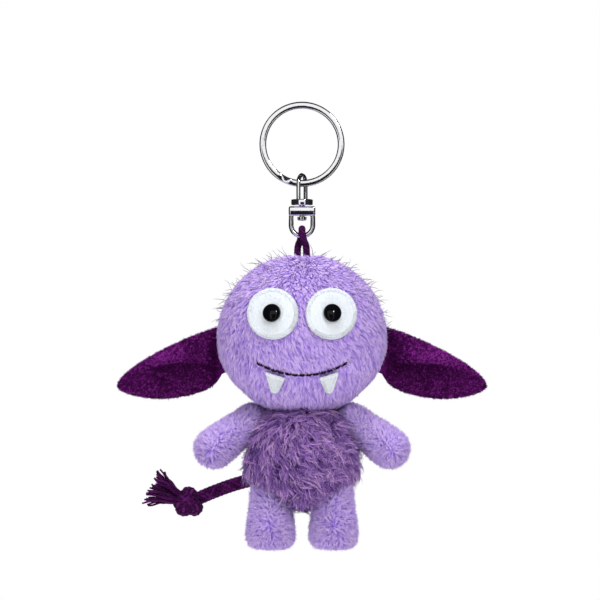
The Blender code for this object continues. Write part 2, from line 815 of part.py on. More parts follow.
# Places along the tail, from its root
TAIL_ROUTE = [Vector(p) for p in (
    (0, 0, 0), (-0.0008, 0.0038, 0.0002), (-0.0029, 0.0071, 0.0003), (-0.0062, 0.0092, 0.0003),
    (-0.0102, 0.0101, 0.0000), (-0.0172, 0.0103, -0.0012), (-0.0248, 0.0099, -0.0032),
    (-0.0320, 0.0091, -0.0058), (-0.0370, 0.0083, -0.0079),
)]


def tail_pieces():
    """The braided cord, its knot and the frayed end past the knot, each seated a little way into the knot."""
    root = tail_root()
    route = smooth_path([root + step for step in TAIL_ROUTE], 2)
    rope = cord("tail_cord", route, TAIL_CORD)
    way = (route[-1] - route[-2]).normalized()
    reach = TAIL_KNOT_DIAMETER / 2
    centre = route[-1] + way * (reach - TAIL_KNOT_SEAT)
    knot = thing("tail_knot", ball(centre, reach, 14, 8))
    lean = Matrix.Translation(centre) @ way.to_track_quat("Z", "Y").to_matrix().to_4x4()
    lean = lean @ Matrix.Rotation(math.radians(62), 4, "X")
    ring = [Vector((math.cos(t), math.sin(t), 0)) * (reach - TAIL_KNOT_WRAP / 4)
            for t in (2 * math.pi * k / 20 for k in range(20))]
    join(knot, placed(closed_tube(ring, TAIL_KNOT_WRAP / 2, 8), lean))
    far = 2 * TAIL_KNOT_DIAMETER
    cut(knot, rod(TAIL_CORD / 2 + FIT, route[-1] + way * FIT, route[-1] - way * far))
    fan = Vector((-math.cos(FRINGE_LIFT), 0, math.sin(FRINGE_LIFT)))
    start = centre + fan * (reach - TAIL_KNOT_SEAT)
    cut(knot, rod(FRINGE_NECK / 2 + FIT, start - fan * FIT, start + fan * far))
    return rope, knot, fringe(start, fan)


def closed_tube(ring, radius, sides):
    """A tube round a closed flat ring about the Z axis."""
    shape = bmesh.new()
    rows = []
    for point in ring:
        out = point.normalized()
        rows.append([shape.verts.new(point + radius * (out * math.cos(t) + Vector((0, 0, 1)) * math.sin(t)))
                     for t in (2 * math.pi * i / sides for i in range(sides))])
    for low, high in zip(rows, rows[1:] + rows[:1]):
        for i in range(sides):
            j = (i + 1) % sides
            shape.faces.new((low[i], low[j], high[j], high[i]))
    return mesh_of(shape)


def fringe(start, way):
    """Frayed yarn that fans out and up from the knot and ends in points."""
    across = Vector((0, 1, 0))
    up = way.cross(across)
    count = 2 * FRINGE_POINTS
    rings = []
    clear = (2 * TAIL_KNOT_SEAT + TAIL_KNOT_WRAP / 2) / FRINGE_LENGTH
    for share in (0.0, clear, (1 + clear) / 2, 1.0):
        spread = max(share - clear, 0) / (1 - clear)
        wide = (FRINGE_NECK + (FRINGE_WIDTH - FRINGE_NECK) * spread) / 2
        deep = (FRINGE_NECK + (FRINGE_DEPTH - FRINGE_NECK) * spread) / 2
        row = []
        for i in range(count):
            turn = 2 * math.pi * i / count
            notch = FRINGE_NOTCH * (i % 2) * (share == 1)
            along = FRINGE_LENGTH * share - notch
            row.append(start + way * along + across * deep * math.sin(turn) + up * wide * math.cos(turn))
        rings.append(row)
    hollow = start + way * (FRINGE_LENGTH - FRINGE_NOTCH * 1.6)
    return thing("tail_fringe", loft([*rings, [hollow]]))


# Assembly

def build():
    clear_scene()
    chrome = material("chrome", (0.78, 0.78, 0.80), 0.12, 1.0)
    plum_cord = material("plum_cord", (0.085, 0.012, 0.085), 0.9)
    plum_velour = material("plum_velour", (0.090, 0.012, 0.095), 0.85)
    lilac = material("lilac_plush", (0.42, 0.27, 0.70), 0.95)
    mauve = material("mauve_shag", (0.22, 0.10, 0.30), 0.95)
    felt_white = material("white_felt", (0.84, 0.86, 0.85), 0.95)
    black = material("black_gloss", (0.006, 0.006, 0.008), 0.12)
    thread = material("dark_thread", (0.03, 0.015, 0.045), 0.8)
    fibre = material("stuffing", (0.80, 0.80, 0.78), 1.0)
    clear = material("washer_plastic", (0.75, 0.75, 0.75), 0.5)

    ring_empty = pivot("key_ring_hang", (0, 0, 0))
    eye_empty = pivot("eye_swing", (0, 0, wire_level), ring_empty)
    yoke_empty = pivot("yoke_spin", (0, 0, block_top), eye_empty)
    head_empty = pivot("loop_swing", (0, 0, bar_level), yoke_empty)
    body_empty = pivot("neck_turn", neck_centre(), head_empty)

    hand_over(split_ring(), ring_empty, chrome)
    hand_over(swivel_eye(), eye_empty, chrome)
    hand_over(swivel_yoke(), yoke_empty, chrome)

    hand_over(cord("hang_loop", loop_path(), LOOP_CORD), head_empty, plum_cord)
    knot, knot_top = loop_knot()
    hand_over(knot, head_empty, plum_cord)
    skin, filling = head_pieces(knot_top)
    hand_over(skin, head_empty, lilac)
    hand_over(filling, head_empty, fibre)
    hand_over(mouth_thread(), head_empty, thread)

    skin, filling = body_pieces()
    hand_over(skin, body_empty, mauve)
    hand_over(filling, body_empty, fibre)

    for sign, side in ((-1, "left"), (1, "right")):
        felt, bead, washer = eye_pieces(sign, side)
        hand_over(felt, head_empty, felt_white)
        hand_over(bead, head_empty, black)
        hand_over(washer, head_empty, clear)
        hand_over(fang(sign, side), head_empty, felt_white)

        ear_empty = pivot(f"ear_flap_{side}", ear_hinge(sign), head_empty)
        hand_over(ear(sign, side), ear_empty, plum_velour)

        arm_empty = pivot(f"arm_lift_{side}", shoulder(sign), body_empty)
        skin, filling = stuffed_limb("arm", side, arm_mesh, arm_matrix(sign))
        hand_over(skin, arm_empty, lilac)
        hand_over(filling, arm_empty, fibre)

        leg_empty = pivot(f"leg_swing_{side}", hip(sign), body_empty)
        skin, filling = stuffed_limb("leg", side, leg_mesh, leg_matrix(sign))
        hand_over(skin, leg_empty, lilac)
        hand_over(filling, leg_empty, fibre)

    tail_empty = pivot("tail_wag", tail_root(), body_empty)
    for piece in tail_pieces():
        hand_over(piece, tail_empty, plum_cord)


build()
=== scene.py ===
"""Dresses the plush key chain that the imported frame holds.

Metres, +Z up, the creature faces -Y. Skins are sewn on the frame's forms and filled by a short cloth
simulation, their pile is grown strand by strand, cords are braided from yarns, and the metal is turned
and bent finely.
"""

from __future__ import annotations

import json
import logging
import math
from collections.abc import Callable, Iterable, Iterator, Sequence
from dataclasses import dataclass, field, replace
from enum import Enum

import bmesh
import bpy
import numpy as np
from mathutils import Matrix, Vector
from mathutils.bvhtree import BVHTree
from mathutils.kdtree import KDTree

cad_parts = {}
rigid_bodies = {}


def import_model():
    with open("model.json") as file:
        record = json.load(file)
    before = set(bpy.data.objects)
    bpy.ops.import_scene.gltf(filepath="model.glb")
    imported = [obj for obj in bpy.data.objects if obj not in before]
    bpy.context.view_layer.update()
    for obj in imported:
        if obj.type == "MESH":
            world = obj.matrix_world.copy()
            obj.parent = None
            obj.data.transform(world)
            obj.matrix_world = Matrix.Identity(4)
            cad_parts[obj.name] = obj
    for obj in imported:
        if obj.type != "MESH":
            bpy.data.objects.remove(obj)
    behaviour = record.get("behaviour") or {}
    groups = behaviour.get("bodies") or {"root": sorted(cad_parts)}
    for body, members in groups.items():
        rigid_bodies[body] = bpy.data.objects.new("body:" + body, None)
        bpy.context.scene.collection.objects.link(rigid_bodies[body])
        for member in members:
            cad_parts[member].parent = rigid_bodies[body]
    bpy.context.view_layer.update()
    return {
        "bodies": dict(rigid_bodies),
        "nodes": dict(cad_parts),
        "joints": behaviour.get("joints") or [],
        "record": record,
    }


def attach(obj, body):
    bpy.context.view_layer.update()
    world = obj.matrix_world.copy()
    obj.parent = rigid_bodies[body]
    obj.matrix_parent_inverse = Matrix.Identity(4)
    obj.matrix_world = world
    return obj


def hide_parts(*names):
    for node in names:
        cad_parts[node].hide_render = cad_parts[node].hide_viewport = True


LOG = logging.getLogger("plush_key_chain")
TUFT = "tuft"  # attribute of a strand's points: share of its length, and tone
LAY = "lay"  # attribute of a yarn's points: metres along it, turn round it, and tone
SIDES = ((-1, "left"), (1, "right"))  # the sign of x, and the side's name

Array = np.ndarray
Colour = tuple[float, float, float]
Stop = tuple[float, Colour]
Field = Callable[[Array], Array]


# Node trees


class Sort(Enum):
    """What a socket carries."""

    VALUE = "VALUE"
    COLOUR = "RGBA"
    VECTOR = "VECTOR"


class Wire:
    """An output socket whose arithmetic adds the nodes that work it out."""

    def __init__(self, nodes: Nodes, socket: bpy.types.NodeSocket) -> None:
        """Holds a socket of a tree."""
        self.nodes = nodes
        self.socket = socket

    @property
    def sort(self) -> Sort:
        """What this socket carries."""
        return Sort(self.socket.type) if self.socket.type in ("RGBA", "VECTOR") else Sort.VALUE

    def _joined(self, verb: str, first: object, second: object) -> Wire:
        """Works out two operands with the node that suits what they carry.

        Args:
            verb: The operation, by the name that all three nodes share.
            first: The left operand, a wire, a number or a colour.
            second: The right operand.

        Returns:
            The result's socket.
        """
        sorts = {item.sort for item in (first, second) if isinstance(item, Wire)}
        if Sort.COLOUR in sorts:
            return self.nodes.node(
                "ShaderNodeMix",
                {"data_type": "RGBA", "blend_type": verb},
                {"Factor_Float": 1.0, "A_Color": first, "B_Color": second},
                "Result_Color",
            )
        kind = "ShaderNodeVectorMath" if Sort.VECTOR in sorts else "ShaderNodeMath"
        return self.nodes.node(kind, {"operation": verb}, {0: first, 1: second})

    def __add__(self, other: object) -> Wire:
        """This and another, added."""
        return self._joined("ADD", self, other)

    def __radd__(self, other: object) -> Wire:
        """Another and this, added."""
        return self._joined("ADD", other, self)

    def __sub__(self, other: object) -> Wire:
        """Another taken from this."""
        return self._joined("SUBTRACT", self, other)

    def __rsub__(self, other: object) -> Wire:
        """This taken from another."""
        return self._joined("SUBTRACT", other, self)

    def __mul__(self, other: object) -> Wire:
        """This times another."""
        return self._joined("MULTIPLY", self, other)

    def __rmul__(self, other: object) -> Wire:
        """Another times this."""
        return self._joined("MULTIPLY", other, self)

    def steps(self, low: float, high: float) -> Wire:
        """A smooth rise from 0 at low to 1 at high."""
        return self.nodes.node(
            "ShaderNodeMapRange", {"interpolation_type": "SMOOTHSTEP"}, {"Value": self, 1: low, 2: high}
        )

    def sine(self) -> Wire:
        """The sine of this value."""
        return self.nodes.node("ShaderNodeMath", {"operation": "SINE"}, {0: self})

    def between(self, low: object, high: object) -> Wire:
        """A colour from low, where this is 0, to high, where it is 1."""
        inputs = {"Factor_Float": self, "A_Color": low, "B_Color": high}
        return self.nodes.node("ShaderNodeMix", {"data_type": "RGBA"}, inputs, "Result_Color")


class Nodes:
    """A node tree, with one method that makes any node."""

    def __init__(self, tree: bpy.types.NodeTree) -> None:
        """Takes over a tree and empties it."""
        self.tree = tree
        tree.nodes.clear()

    def node(
        self, kind: str, settings: dict | None = None, inputs: dict | None = None, output: int | str = 0
    ) -> Wire:
        """Makes a node.

        Args:
            kind: The node's type.
            settings: Its properties, set before its sockets. A ramp's stops go under "stops".
            inputs: Values or wires by a socket's number, identifier or name.
            output: The socket that is wanted, by number, identifier or name.

        Returns:
            That output socket, or an input one of a node that has no output.
        """
        made = self.tree.nodes.new(kind)
        for name, value in (settings or {}).items():
            if name == "stops":
                self._set_stops(made.color_ramp, value)
            else:
                setattr(made, name, value)
        for name, value in (inputs or {}).items():
            self.feed(self._socket(made.inputs, name), value)
        return Wire(self, self._socket(made.outputs or made.inputs, output))

    def feed(self, socket: bpy.types.NodeSocket, value: object) -> None:
        """Links a wire to a socket, or sets its constant.

        Args:
            socket: The input socket.
            value: A wire, a number, or a colour or vector of three numbers.
        """
        if isinstance(value, Wire):
            self.tree.links.new(value.socket, socket)
        elif socket.type == "RGBA":
            colour = value if isinstance(value, Sequence) else (value,) * 3
            socket.default_value = (*colour[:3], 1.0)
        elif socket.type == "VECTOR" and not isinstance(value, Sequence):
            socket.default_value = (value,) * 3
        else:
            socket.default_value = value

    @staticmethod
    def _socket(sockets: Iterable[bpy.types.NodeSocket], name: int | str) -> bpy.types.NodeSocket:
        """A socket by its number, identifier or name."""
        found = list(sockets)
        if isinstance(name, int):
            return found[name]
        return next(s for s in found if name in (s.identifier, s.name))

    @staticmethod
    def _set_stops(ramp: bpy.types.ColorRamp, stops: Sequence[Stop]) -> None:
        """Gives a ramp its stops, each a place and a colour."""
        while len(ramp.elements) < len(stops):
            ramp.elements.new(1.0)
        for element, (place, colour) in zip(ramp.elements, stops):
            element.position = place
            element.color = (*colour, 1.0)

    def parts(self, vector: Wire) -> tuple[Wire, Wire, Wire]:
        """A vector's three values."""
        made = self.node("ShaderNodeSeparateXYZ", inputs={0: vector})
        outputs = made.socket.node.outputs
        return Wire(self, outputs[0]), Wire(self, outputs[1]), Wire(self, outputs[2])

    def attribute(self, name: str) -> tuple[Wire, Wire, Wire]:
        """A mesh attribute's three values."""
        return self.parts(self.node("ShaderNodeAttribute", {"attribute_name": name}, output="Vector"))

    def place(self, stretch: Sequence[float] = (1, 1, 1)) -> Wire:
        """Object coordinates, in metres, stretched along each axis."""
        place = self.node("ShaderNodeTexCoord", output="Object")
        return place * tuple(stretch) if tuple(stretch) != (1, 1, 1) else place

    def noise(self, scale: float, detail: float = 2.0, stretch: Sequence[float] = (1, 1, 1)) -> Wire:
        """Noise over the surface, about 0.5."""
        inputs = {"Vector": self.place(stretch), "Scale": scale, "Detail": detail}
        return self.node("ShaderNodeTexNoise", {}, inputs, "Fac")

    def ramp(self, value: Wire, stops: Sequence[Stop]) -> Wire:
        """The colour at a value between stops."""
        return self.node("ShaderNodeValToRGB", {"stops": stops}, {0: value}, "Color")

    def bump(self, height: Wire, distance: float, strength: float = 1.0) -> Wire:
        """A normal from a height between 0 and 1, over a distance in metres."""
        inputs = {"Height": height, "Distance": distance, "Strength": strength}
        return self.node("ShaderNodeBump", {}, inputs, "Normal")


class Paint(Nodes):
    """A material's nodes."""

    def __init__(self, name: str) -> None:
        """Makes an empty material."""
        self.material = bpy.data.materials.new(name)
        self.material.use_nodes = True
        super().__init__(self.material.node_tree)

    def done(self, sockets: dict[str, object]) -> bpy.types.Material:
        """Closes the material with one shader.

        Args:
            sockets: Values or wires for the shader's sockets, by name.

        Returns:
            The material.
        """
        shader = self.node("ShaderNodeBsdfPrincipled", {}, sockets)
        self.node("ShaderNodeOutputMaterial", {}, {"Surface": shader})
        return self.material


# Finishes


@dataclass(frozen=True)
class PileFinish:
    """Dyed pile, darker at the roots as a painted shade deep in the pile, and lighter or darker from strand
    to strand.
    """

    along: tuple[Stop, ...]
    tones: tuple[Stop, ...]
    roughness: float = 0.72
    shine: float = 0.25
    sheen: float = 0.25
    sheen_tint: Colour = (0.9, 0.85, 1.0)

    def material(self, name: str) -> bpy.types.Material:
        """The finish as a material."""
        paint = Paint(name)
        along, tone, _ = paint.attribute(TUFT)
        return paint.done({
            # Darker towards the roots along each strand: painted shade deep in the pile.
            "Base Color": paint.ramp(along, self.along) * paint.ramp(tone, self.tones),
            "Roughness": self.roughness,
            "Specular IOR Level": self.shine,
            "Sheen Weight": self.sheen,
            "Sheen Roughness": 0.4,
            "Sheen Tint": self.sheen_tint,
        })


@dataclass(frozen=True)
class ClothFinish:
    """The knitted backing that pile stands in."""

    colour: Colour
    dark: Colour
    loop: float = 0.0006

    def material(self, name: str) -> bpy.types.Material:
        """The finish as a material."""
        paint = Paint(name)
        turn = 2 * math.pi / self.loop
        x, y, z = paint.parts(paint.place())
        loops = (z * turn).sine() * ((x + y) * turn).sine() * 0.5 + 0.5
        patches = paint.noise(180, 3).steps(0.35, 0.65)
        return paint.done({
            "Base Color": (loops * 0.6 + patches * 0.4).between(self.dark, self.colour),
            "Roughness": 0.95,
            "Specular IOR Level": 0.1,
            "Normal": paint.bump(loops, 0.0002),
        })


@dataclass(frozen=True)
class FeltFinish:
    """Pressed felt: matted fibres, with a faint cloudiness."""

    colour: Colour
    shade: Colour
    fibre: float = 0.0005

    def material(self, name: str) -> bpy.types.Material:
        """The finish as a material."""
        paint = Paint(name)
        level = paint.noise(1 / self.fibre, 4, (1, 1, 0.45))
        upright = paint.noise(1.3 / self.fibre, 4, (0.4, 1, 1))
        matted = level * 0.5 + upright * 0.5
        clouds = paint.noise(260, 2)
        return paint.done({
            "Base Color": (matted.steps(0.3, 0.6) * 0.7 + clouds * 0.3).between(self.shade, self.colour),
            "Roughness": matted * 0.15 + 0.8,
            "Specular IOR Level": 0.15,
            "Sheen Weight": 0.15,
            "Normal": paint.bump(matted, 0.00022),
        })


@dataclass(frozen=True)
class VelourFinish:
    """Short cut pile that shows soft brushed patches."""

    colour: Colour
    light: Colour
    dark: Colour

    def material(self, name: str) -> bpy.types.Material:
        """The finish as a material."""
        paint = Paint(name)
        grain = paint.noise(2600, 3)
        brushed = paint.noise(120, 3, (1, 1, 1.8)).steps(0.3, 0.7)
        base = grain.steps(0.3, 0.7).between(self.dark, self.colour)
        return paint.done({
            "Base Color": (brushed * grain).between(base, self.light),
            "Roughness": grain * 0.2 + 0.7,
            "Specular IOR Level": 0.05,
            "Sheen Weight": 0.04,
            "Sheen Roughness": 0.35,
            "Sheen Tint": (0.75, 0.2, 0.8),
            "Normal": paint.bump(grain, 0.00018),
        })


@dataclass(frozen=True)
class YarnFinish:
    """Spun yarn: plies that turn along it, painted shade in the grooves between them, and lighter flecks."""

    colour: Colour
    light: Colour
    dark: Colour
    ply_pitch: float = 0.0014
    plies: int = 3

    def material(self, name: str) -> bpy.types.Material:
        """The finish as a material."""
        paint = Paint(name)
        along, turn, tone = paint.attribute(LAY)
        ribs = (along * (2 * math.pi / self.ply_pitch) + turn * float(self.plies)).sine() * 0.5 + 0.5
        fuzz = paint.noise(2400, 3)
        # Darker in the grooves between the plies: painted shade.
        base = ribs.between(self.dark, self.colour)
        return paint.done({
            "Base Color": (tone * fuzz).steps(0.15, 0.6).between(base, self.light),
            "Roughness": fuzz * 0.15 + 0.72,
            "Specular IOR Level": 0.08,
            "Sheen Weight": 0.03,
            "Sheen Roughness": 0.4,
            "Normal": paint.bump(ribs * 0.7 + fuzz * 0.3, 0.00012),
        })


@dataclass(frozen=True)
class ChromeFinish:
    """Polished plating with faint rubbing marks and dulled patches."""

    colour: Colour = (0.90, 0.90, 0.92)
    dulled: Colour = (0.74, 0.74, 0.77)
    polish: float = 0.05

    def material(self, name: str) -> bpy.types.Material:
        """The finish as a material."""
        paint = Paint(name)
        rubbed = paint.noise(900, 4, (1, 5, 1)).steps(0.52, 0.75)
        smears = paint.noise(140, 3).steps(0.4, 0.8)
        return paint.done({
            "Base Color": (rubbed * smears).between(self.colour, self.dulled),
            "Metallic": 1.0,
            "Roughness": rubbed * 0.05 + smears * 0.05 + self.polish,
            "Normal": paint.bump(rubbed, 0.000004),
        })


@dataclass(frozen=True)
class GlossFinish:
    """Moulded plastic, polished or plain."""

    colour: Colour
    roughness: float
    shine: float = 0.5

    def material(self, name: str) -> bpy.types.Material:
        """The finish as a material."""
        paint = Paint(name)
        dust = paint.noise(3200, 2).steps(0.6, 0.85)
        flow = paint.noise(300, 2)
        lighter = tuple(min(1.0, 1.6 * part + 0.006) for part in self.colour)
        return paint.done({
            "Base Color": (dust * 0.5 + flow * 0.2).between(self.colour, lighter),
            "Roughness": dust * 0.05 + flow * 0.03 + self.roughness,
            "Specular IOR Level": self.shine,
        })


LILAC_CLOTH = ClothFinish((0.64, 0.44, 0.96), (0.52, 0.33, 0.86))
MAUVE_CLOTH = ClothFinish((0.13, 0.05, 0.21), (0.07, 0.025, 0.12))
PLUM_VELOUR = VelourFinish((0.072, 0.003, 0.077), (0.16, 0.010, 0.168), (0.028, 0.0008, 0.032))
PLUM_YARN = YarnFinish((0.078, 0.006, 0.083), (0.17, 0.018, 0.177), (0.018, 0.0010, 0.021))
DARK_THREAD = YarnFinish((0.030, 0.014, 0.050), (0.06, 0.03, 0.09), (0.008, 0.004, 0.015), 0.0009, 2)
WHITE_THREAD = YarnFinish((0.86, 0.89, 0.90), (0.93, 0.95, 0.96), (0.70, 0.74, 0.76), 0.0006, 2)
WHITE_FELT = FeltFinish((0.80, 0.83, 0.84), (0.69, 0.73, 0.75))
CHROME = ChromeFinish()
BLACK_GLOSS = GlossFinish((0.002, 0.002, 0.003), 0.02, 0.2)
CLEAR_PLASTIC = GlossFinish((0.72, 0.72, 0.72), 0.4)
LILAC_PILE = PileFinish(
    along=((0.0, (0.54, 0.34, 0.97)), (0.4, (0.67, 0.46, 1.0)), (1.0, (0.78, 0.59, 1.0))),
    tones=((0.0, (0.58, 0.48, 0.78)), (0.5, (0.98, 0.96, 1.0)), (1.0, (1.18, 1.26, 1.0))),
    sheen=0.5,
    sheen_tint=(0.72, 0.58, 1.0),
)
MAUVE_PILE = PileFinish(
    along=((0.0, (0.072, 0.026, 0.14)), (0.4, (0.30, 0.134, 0.50)), (1.0, (0.46, 0.235, 0.68))),
    tones=((0.0, (0.16, 0.12, 0.24)), (0.5, (0.82, 0.77, 0.90)), (1.0, (2.1, 2.6, 1.45))),
)
NAP_PILE = PileFinish(
    along=((0.0, (0.045, 0.0020, 0.050)), (1.0, (0.185, 0.0130, 0.195))),
    # The top tone stop is high so that the ear's painted highlight along the fold shows on the nap.
    tones=((0.0, (0.26, 0.24, 0.26)), (0.5, (0.82, 0.80, 0.82)), (1.0, (2.7, 4.2, 2.7))),
    shine=0.03,
    sheen=0.03,
    sheen_tint=(0.8, 0.2, 0.85),
)
HAIR_PILE = PileFinish(
    along=((0.0, (0.30, 0.18, 0.46)), (1.0, (0.10, 0.06, 0.16))),
    tones=((0.0, (0.7, 0.7, 0.7)), (1.0, (1.3, 1.3, 1.3))),
)
FUZZ_PILE = PileFinish(
    along=((0.0, (0.70, 0.74, 0.74)), (1.0, (0.90, 0.93, 0.92))),
    tones=((0.0, (0.85, 0.85, 0.85)), (1.0, (1.0, 1.0, 1.0))),
    sheen_tint=(1.0, 1.0, 1.0),
)


# Meshes


def unit(vectors: Array) -> Array:
    """Vectors made one long, along the last axis."""
    return vectors / np.maximum(np.linalg.norm(vectors, axis=-1, keepdims=True), 1e-12)


def along_plane(vectors: Array, normals: Array) -> Array:
    """Unit vectors turned into the planes that have these normals."""
    return unit(vectors - normals * (vectors * normals).sum(-1, keepdims=True))


def egg_share(height: Array | float, power: float) -> Array:
    """The width of a superellipse at a height from 0 to 1, as a share of its widest."""
    return np.maximum(1 - np.abs(height) ** power, 0) ** (1 / power)


def smooth(share: Array | float) -> Array | float:
    """A smooth rise from 0 to 1, at shares of the way."""
    return share * share * (3 - 2 * share)


def rise(value: Array, width: float, start: float = 0.0) -> Array:
    """From a start where a value is 0, up by 1 over a width, and never below 0 or above 1."""
    return np.clip(start + value / width, 0, 1)


def placed(name: str, data: bpy.types.ID) -> bpy.types.Object:
    """A new object of the scene."""
    made = bpy.data.objects.new(name, data)
    bpy.context.scene.collection.objects.link(made)
    return made


def coordinates(mesh: bpy.types.Mesh) -> Array:
    """A mesh's points."""
    found = np.zeros(len(mesh.vertices) * 3, np.float32)
    mesh.vertices.foreach_get("co", found)
    return found.reshape(-1, 3).astype(float)


def move_points(mesh: bpy.types.Mesh, points: Array) -> None:
    """Puts a mesh's points in other places."""
    mesh.vertices.foreach_set("co", points.astype(np.float32).ravel())


@dataclass
class Shape:
    """Points and faces of a mesh, which add up."""

    points: Array
    faces: list[Array]
    notes: dict[str, Array] = field(default_factory=dict)

    def __add__(self, other: Shape) -> Shape:
        """Both shapes as one mesh."""
        moved = [face + len(self.points) for face in other.faces]
        notes = {name: np.vstack([note, other.notes[name]]) for name, note in self.notes.items()}
        return Shape(np.vstack([self.points, other.points]), [*self.faces, *moved], notes)

    def __radd__(self, other: int) -> Shape:
        """This shape, so that sum() can start from 0."""
        return self

    def mesh(self, name: str) -> bpy.types.Mesh:
        """The shape as mesh data, with its notes as point attributes."""
        made = bpy.data.meshes.new(name)
        corners = np.concatenate([face.ravel() for face in self.faces]).astype(np.int32)
        sizes = np.concatenate([np.full(len(face), face.shape[1], np.int32) for face in self.faces])
        made.vertices.add(len(self.points))
        move_points(made, self.points)
        made.loops.add(len(corners))
        made.loops.foreach_set("vertex_index", corners)
        made.polygons.add(len(sizes))
        made.polygons.foreach_set("loop_start", np.concatenate([[0], np.cumsum(sizes)[:-1]]).astype(np.int32))
        made.update(calc_edges=True)
        for label, note in self.notes.items():
            values = made.attributes.new(label, "FLOAT_VECTOR", "POINT")
            values.data.foreach_set("vector", note.astype(np.float32).ravel())
        return made

    def piece(
        self, name: str, material: bpy.types.Material | None = None, crease: float = 60
    ) -> bpy.types.Object:
        """The shape as an object of the scene.

        Args:
            name: The object's name.
            material: Its material.
            crease: Edges sharper than this many degrees stay sharp.

        Returns:
            The object.
        """
        made = placed(name, self.mesh(name))
        if material:
            made.data.materials.append(material)
        made.data.shade_smooth()
        made.data.set_sharp_from_angle(angle=math.radians(crease))
        return made


def loft(rows: Array, start: Array | None = None, end: Array | None = None, looped: bool = False) -> Shape:
    """A closed mesh through rows of points.

    Args:
        rows: Rings of points, as an array of rows, points and coordinates.
        start: The point that closes the first row, or its middle.
        end: The point that closes the last row, or its middle.
        looped: Whether the last row joins the first instead.

    Returns:
        The shape, its rows first.
    """
    count, sides = rows.shape[:2]
    index = np.arange(count * sides).reshape(count, sides)
    low = index if looped else index[:-1]
    high = np.roll(index, -1, 0) if looped else index[1:]
    quads = np.stack([low, np.roll(low, -1, 1), np.roll(high, -1, 1), high], -1).reshape(-1, 4)
    points = rows.reshape(-1, 3)
    if looped:
        return Shape(points, [quads])
    ends = [rows[0].mean(0) if start is None else start, rows[-1].mean(0) if end is None else end]
    first, last = index[0], index[-1]
    total = count * sides
    caps = [
        np.stack([np.roll(first, -1), first, np.full(sides, total)], -1),
        np.stack([last, np.roll(last, -1), np.full(sides, total + 1)], -1),
    ]
    return Shape(np.vstack([points, ends]), [quads, *caps])


def circle(sides: int) -> Array:
    """Angles evenly round a circle."""
    return np.arange(sides) * (2 * math.pi / sides)


def rings_about_z(profile: Sequence[tuple[float, float]], sides: int) -> Array:
    """Rows of points round +Z from (radius, height) pairs."""
    radii, heights = np.array(profile, float).T
    turn = circle(sides)
    flat = radii[:, None] * np.cos(turn), radii[:, None] * np.sin(turn)
    return np.stack([*flat, np.repeat(heights[:, None], sides, 1)], -1)


def lathe(profile: Sequence[tuple[float, float]], sides: int) -> Shape:
    """A mesh turned about +Z from (radius, height) pairs, closed at both ends on the axis."""
    return loft(rings_about_z(profile, sides))


def smooth_path(points: Array, per_span: int) -> Array:
    """Points along a Catmull-Rom curve through the given ones."""
    ends = np.vstack([2 * points[0] - points[1], points, 2 * points[-1] - points[-2]])
    t = (np.arange(per_span) / per_span)[:, None]
    spans = [
        0.5 * (2 * b + (c - a) * t + (2 * a - 5 * b + 4 * c - d) * t**2 + (3 * b - a - 3 * c + d) * t**3)
        for a, b, c, d in zip(ends, ends[1:], ends[2:], ends[3:])
    ]
    return np.vstack([*spans, points[-1:]])


def distances(path: Array) -> Array:
    """How far along a path each of its points lies."""
    return np.concatenate([[0], np.cumsum(np.linalg.norm(np.diff(path, axis=0), axis=1))])


def even_path(points: Array, step: float) -> Array:
    """The same line with points about a step apart."""
    gone = distances(points)
    at = np.linspace(0, gone[-1], max(2, math.ceil(gone[-1] / step) + 1))
    return np.stack([np.interp(at, gone, points[:, k]) for k in range(3)], 1)


def path_frames(path: Array, looped: bool = False) -> tuple[Array, Array, Array]:
    """Two directions square to a path at each point, carried along it without twist, and the way along it."""
    if looped:
        way = unit(np.roll(path, -1, 0) - np.roll(path, 1, 0))
    else:
        way = unit(np.gradient(path, axis=0))
    side = np.zeros_like(path)
    spare = np.eye(3)[np.argmin(np.abs(way[0]))]
    before = np.cross(way[0], spare)
    for k, ahead in enumerate(way):
        before = along_plane(before, ahead)
        side[k] = before
    return side, np.cross(way, side), way


def tube(path: Array, radius: Array | float, sides: int, tone: float = 0.5) -> Shape:
    """A closed round tube along a path, with its lay noted for the yarn finish.

    Args:
        path: The points down its middle.
        radius: Its radius, one for all points or one each.
        sides: How many sides it has.
        tone: How light it is among its neighbours.

    Returns:
        The shape.
    """
    side, other, _ = path_frames(path)
    turn = circle(sides)
    wide = np.broadcast_to(np.asarray(radius, float), (len(path),))[:, None, None]
    around = side[:, None] * np.cos(turn)[None, :, None] + other[:, None] * np.sin(turn)[None, :, None]
    shape = loft(path[:, None] + wide * around)
    gone = distances(path)
    lay = np.stack(np.broadcast_arrays(gone[:, None], turn[None], np.full((1, 1), tone)), -1).reshape(-1, 3)
    shape.notes[LAY] = np.vstack([lay, [0, 0, tone], [gone[-1], 0, tone]])
    return shape


@dataclass(frozen=True)
class Braid:
    """A round braid of yarns, half of them turning each way, over a core."""

    diameter: float
    yarns: int = 16
    pitch: float = 0.011
    yarn: float = 0.19
    wave: float = 0.06
    sides: int = 6

    def along(self, path: Array, seed: int) -> Shape:
        """The braid along a path.

        Args:
            path: The points down its middle.
            seed: For the yarns' tones.

        Returns:
            The yarns and their core as one shape.
        """
        rng = np.random.default_rng(seed)
        half = self.diameter / 2
        yarn, wave = half * self.yarn, half * self.wave
        middle = half - yarn - wave
        line = even_path(path, yarn * 0.55)
        side, other, _ = path_frames(line)
        gone = distances(line)
        each_way = self.yarns // 2
        rate = 2 * math.pi / self.pitch
        made = [tube(line, middle, 10, 0.1)]
        for k in range(self.yarns):
            hand = 1 if k % 2 else -1
            turn = hand * rate * gone + 2 * math.pi * (k // 2) / each_way
            out = middle + hand * wave * np.cos(rate * each_way * gone)
            strand = line + out[:, None] * (np.cos(turn)[:, None] * side + np.sin(turn)[:, None] * other)
            made.append(tube(strand, yarn, self.sides, rng.uniform(0.2, 0.9)))
        return sum(made)


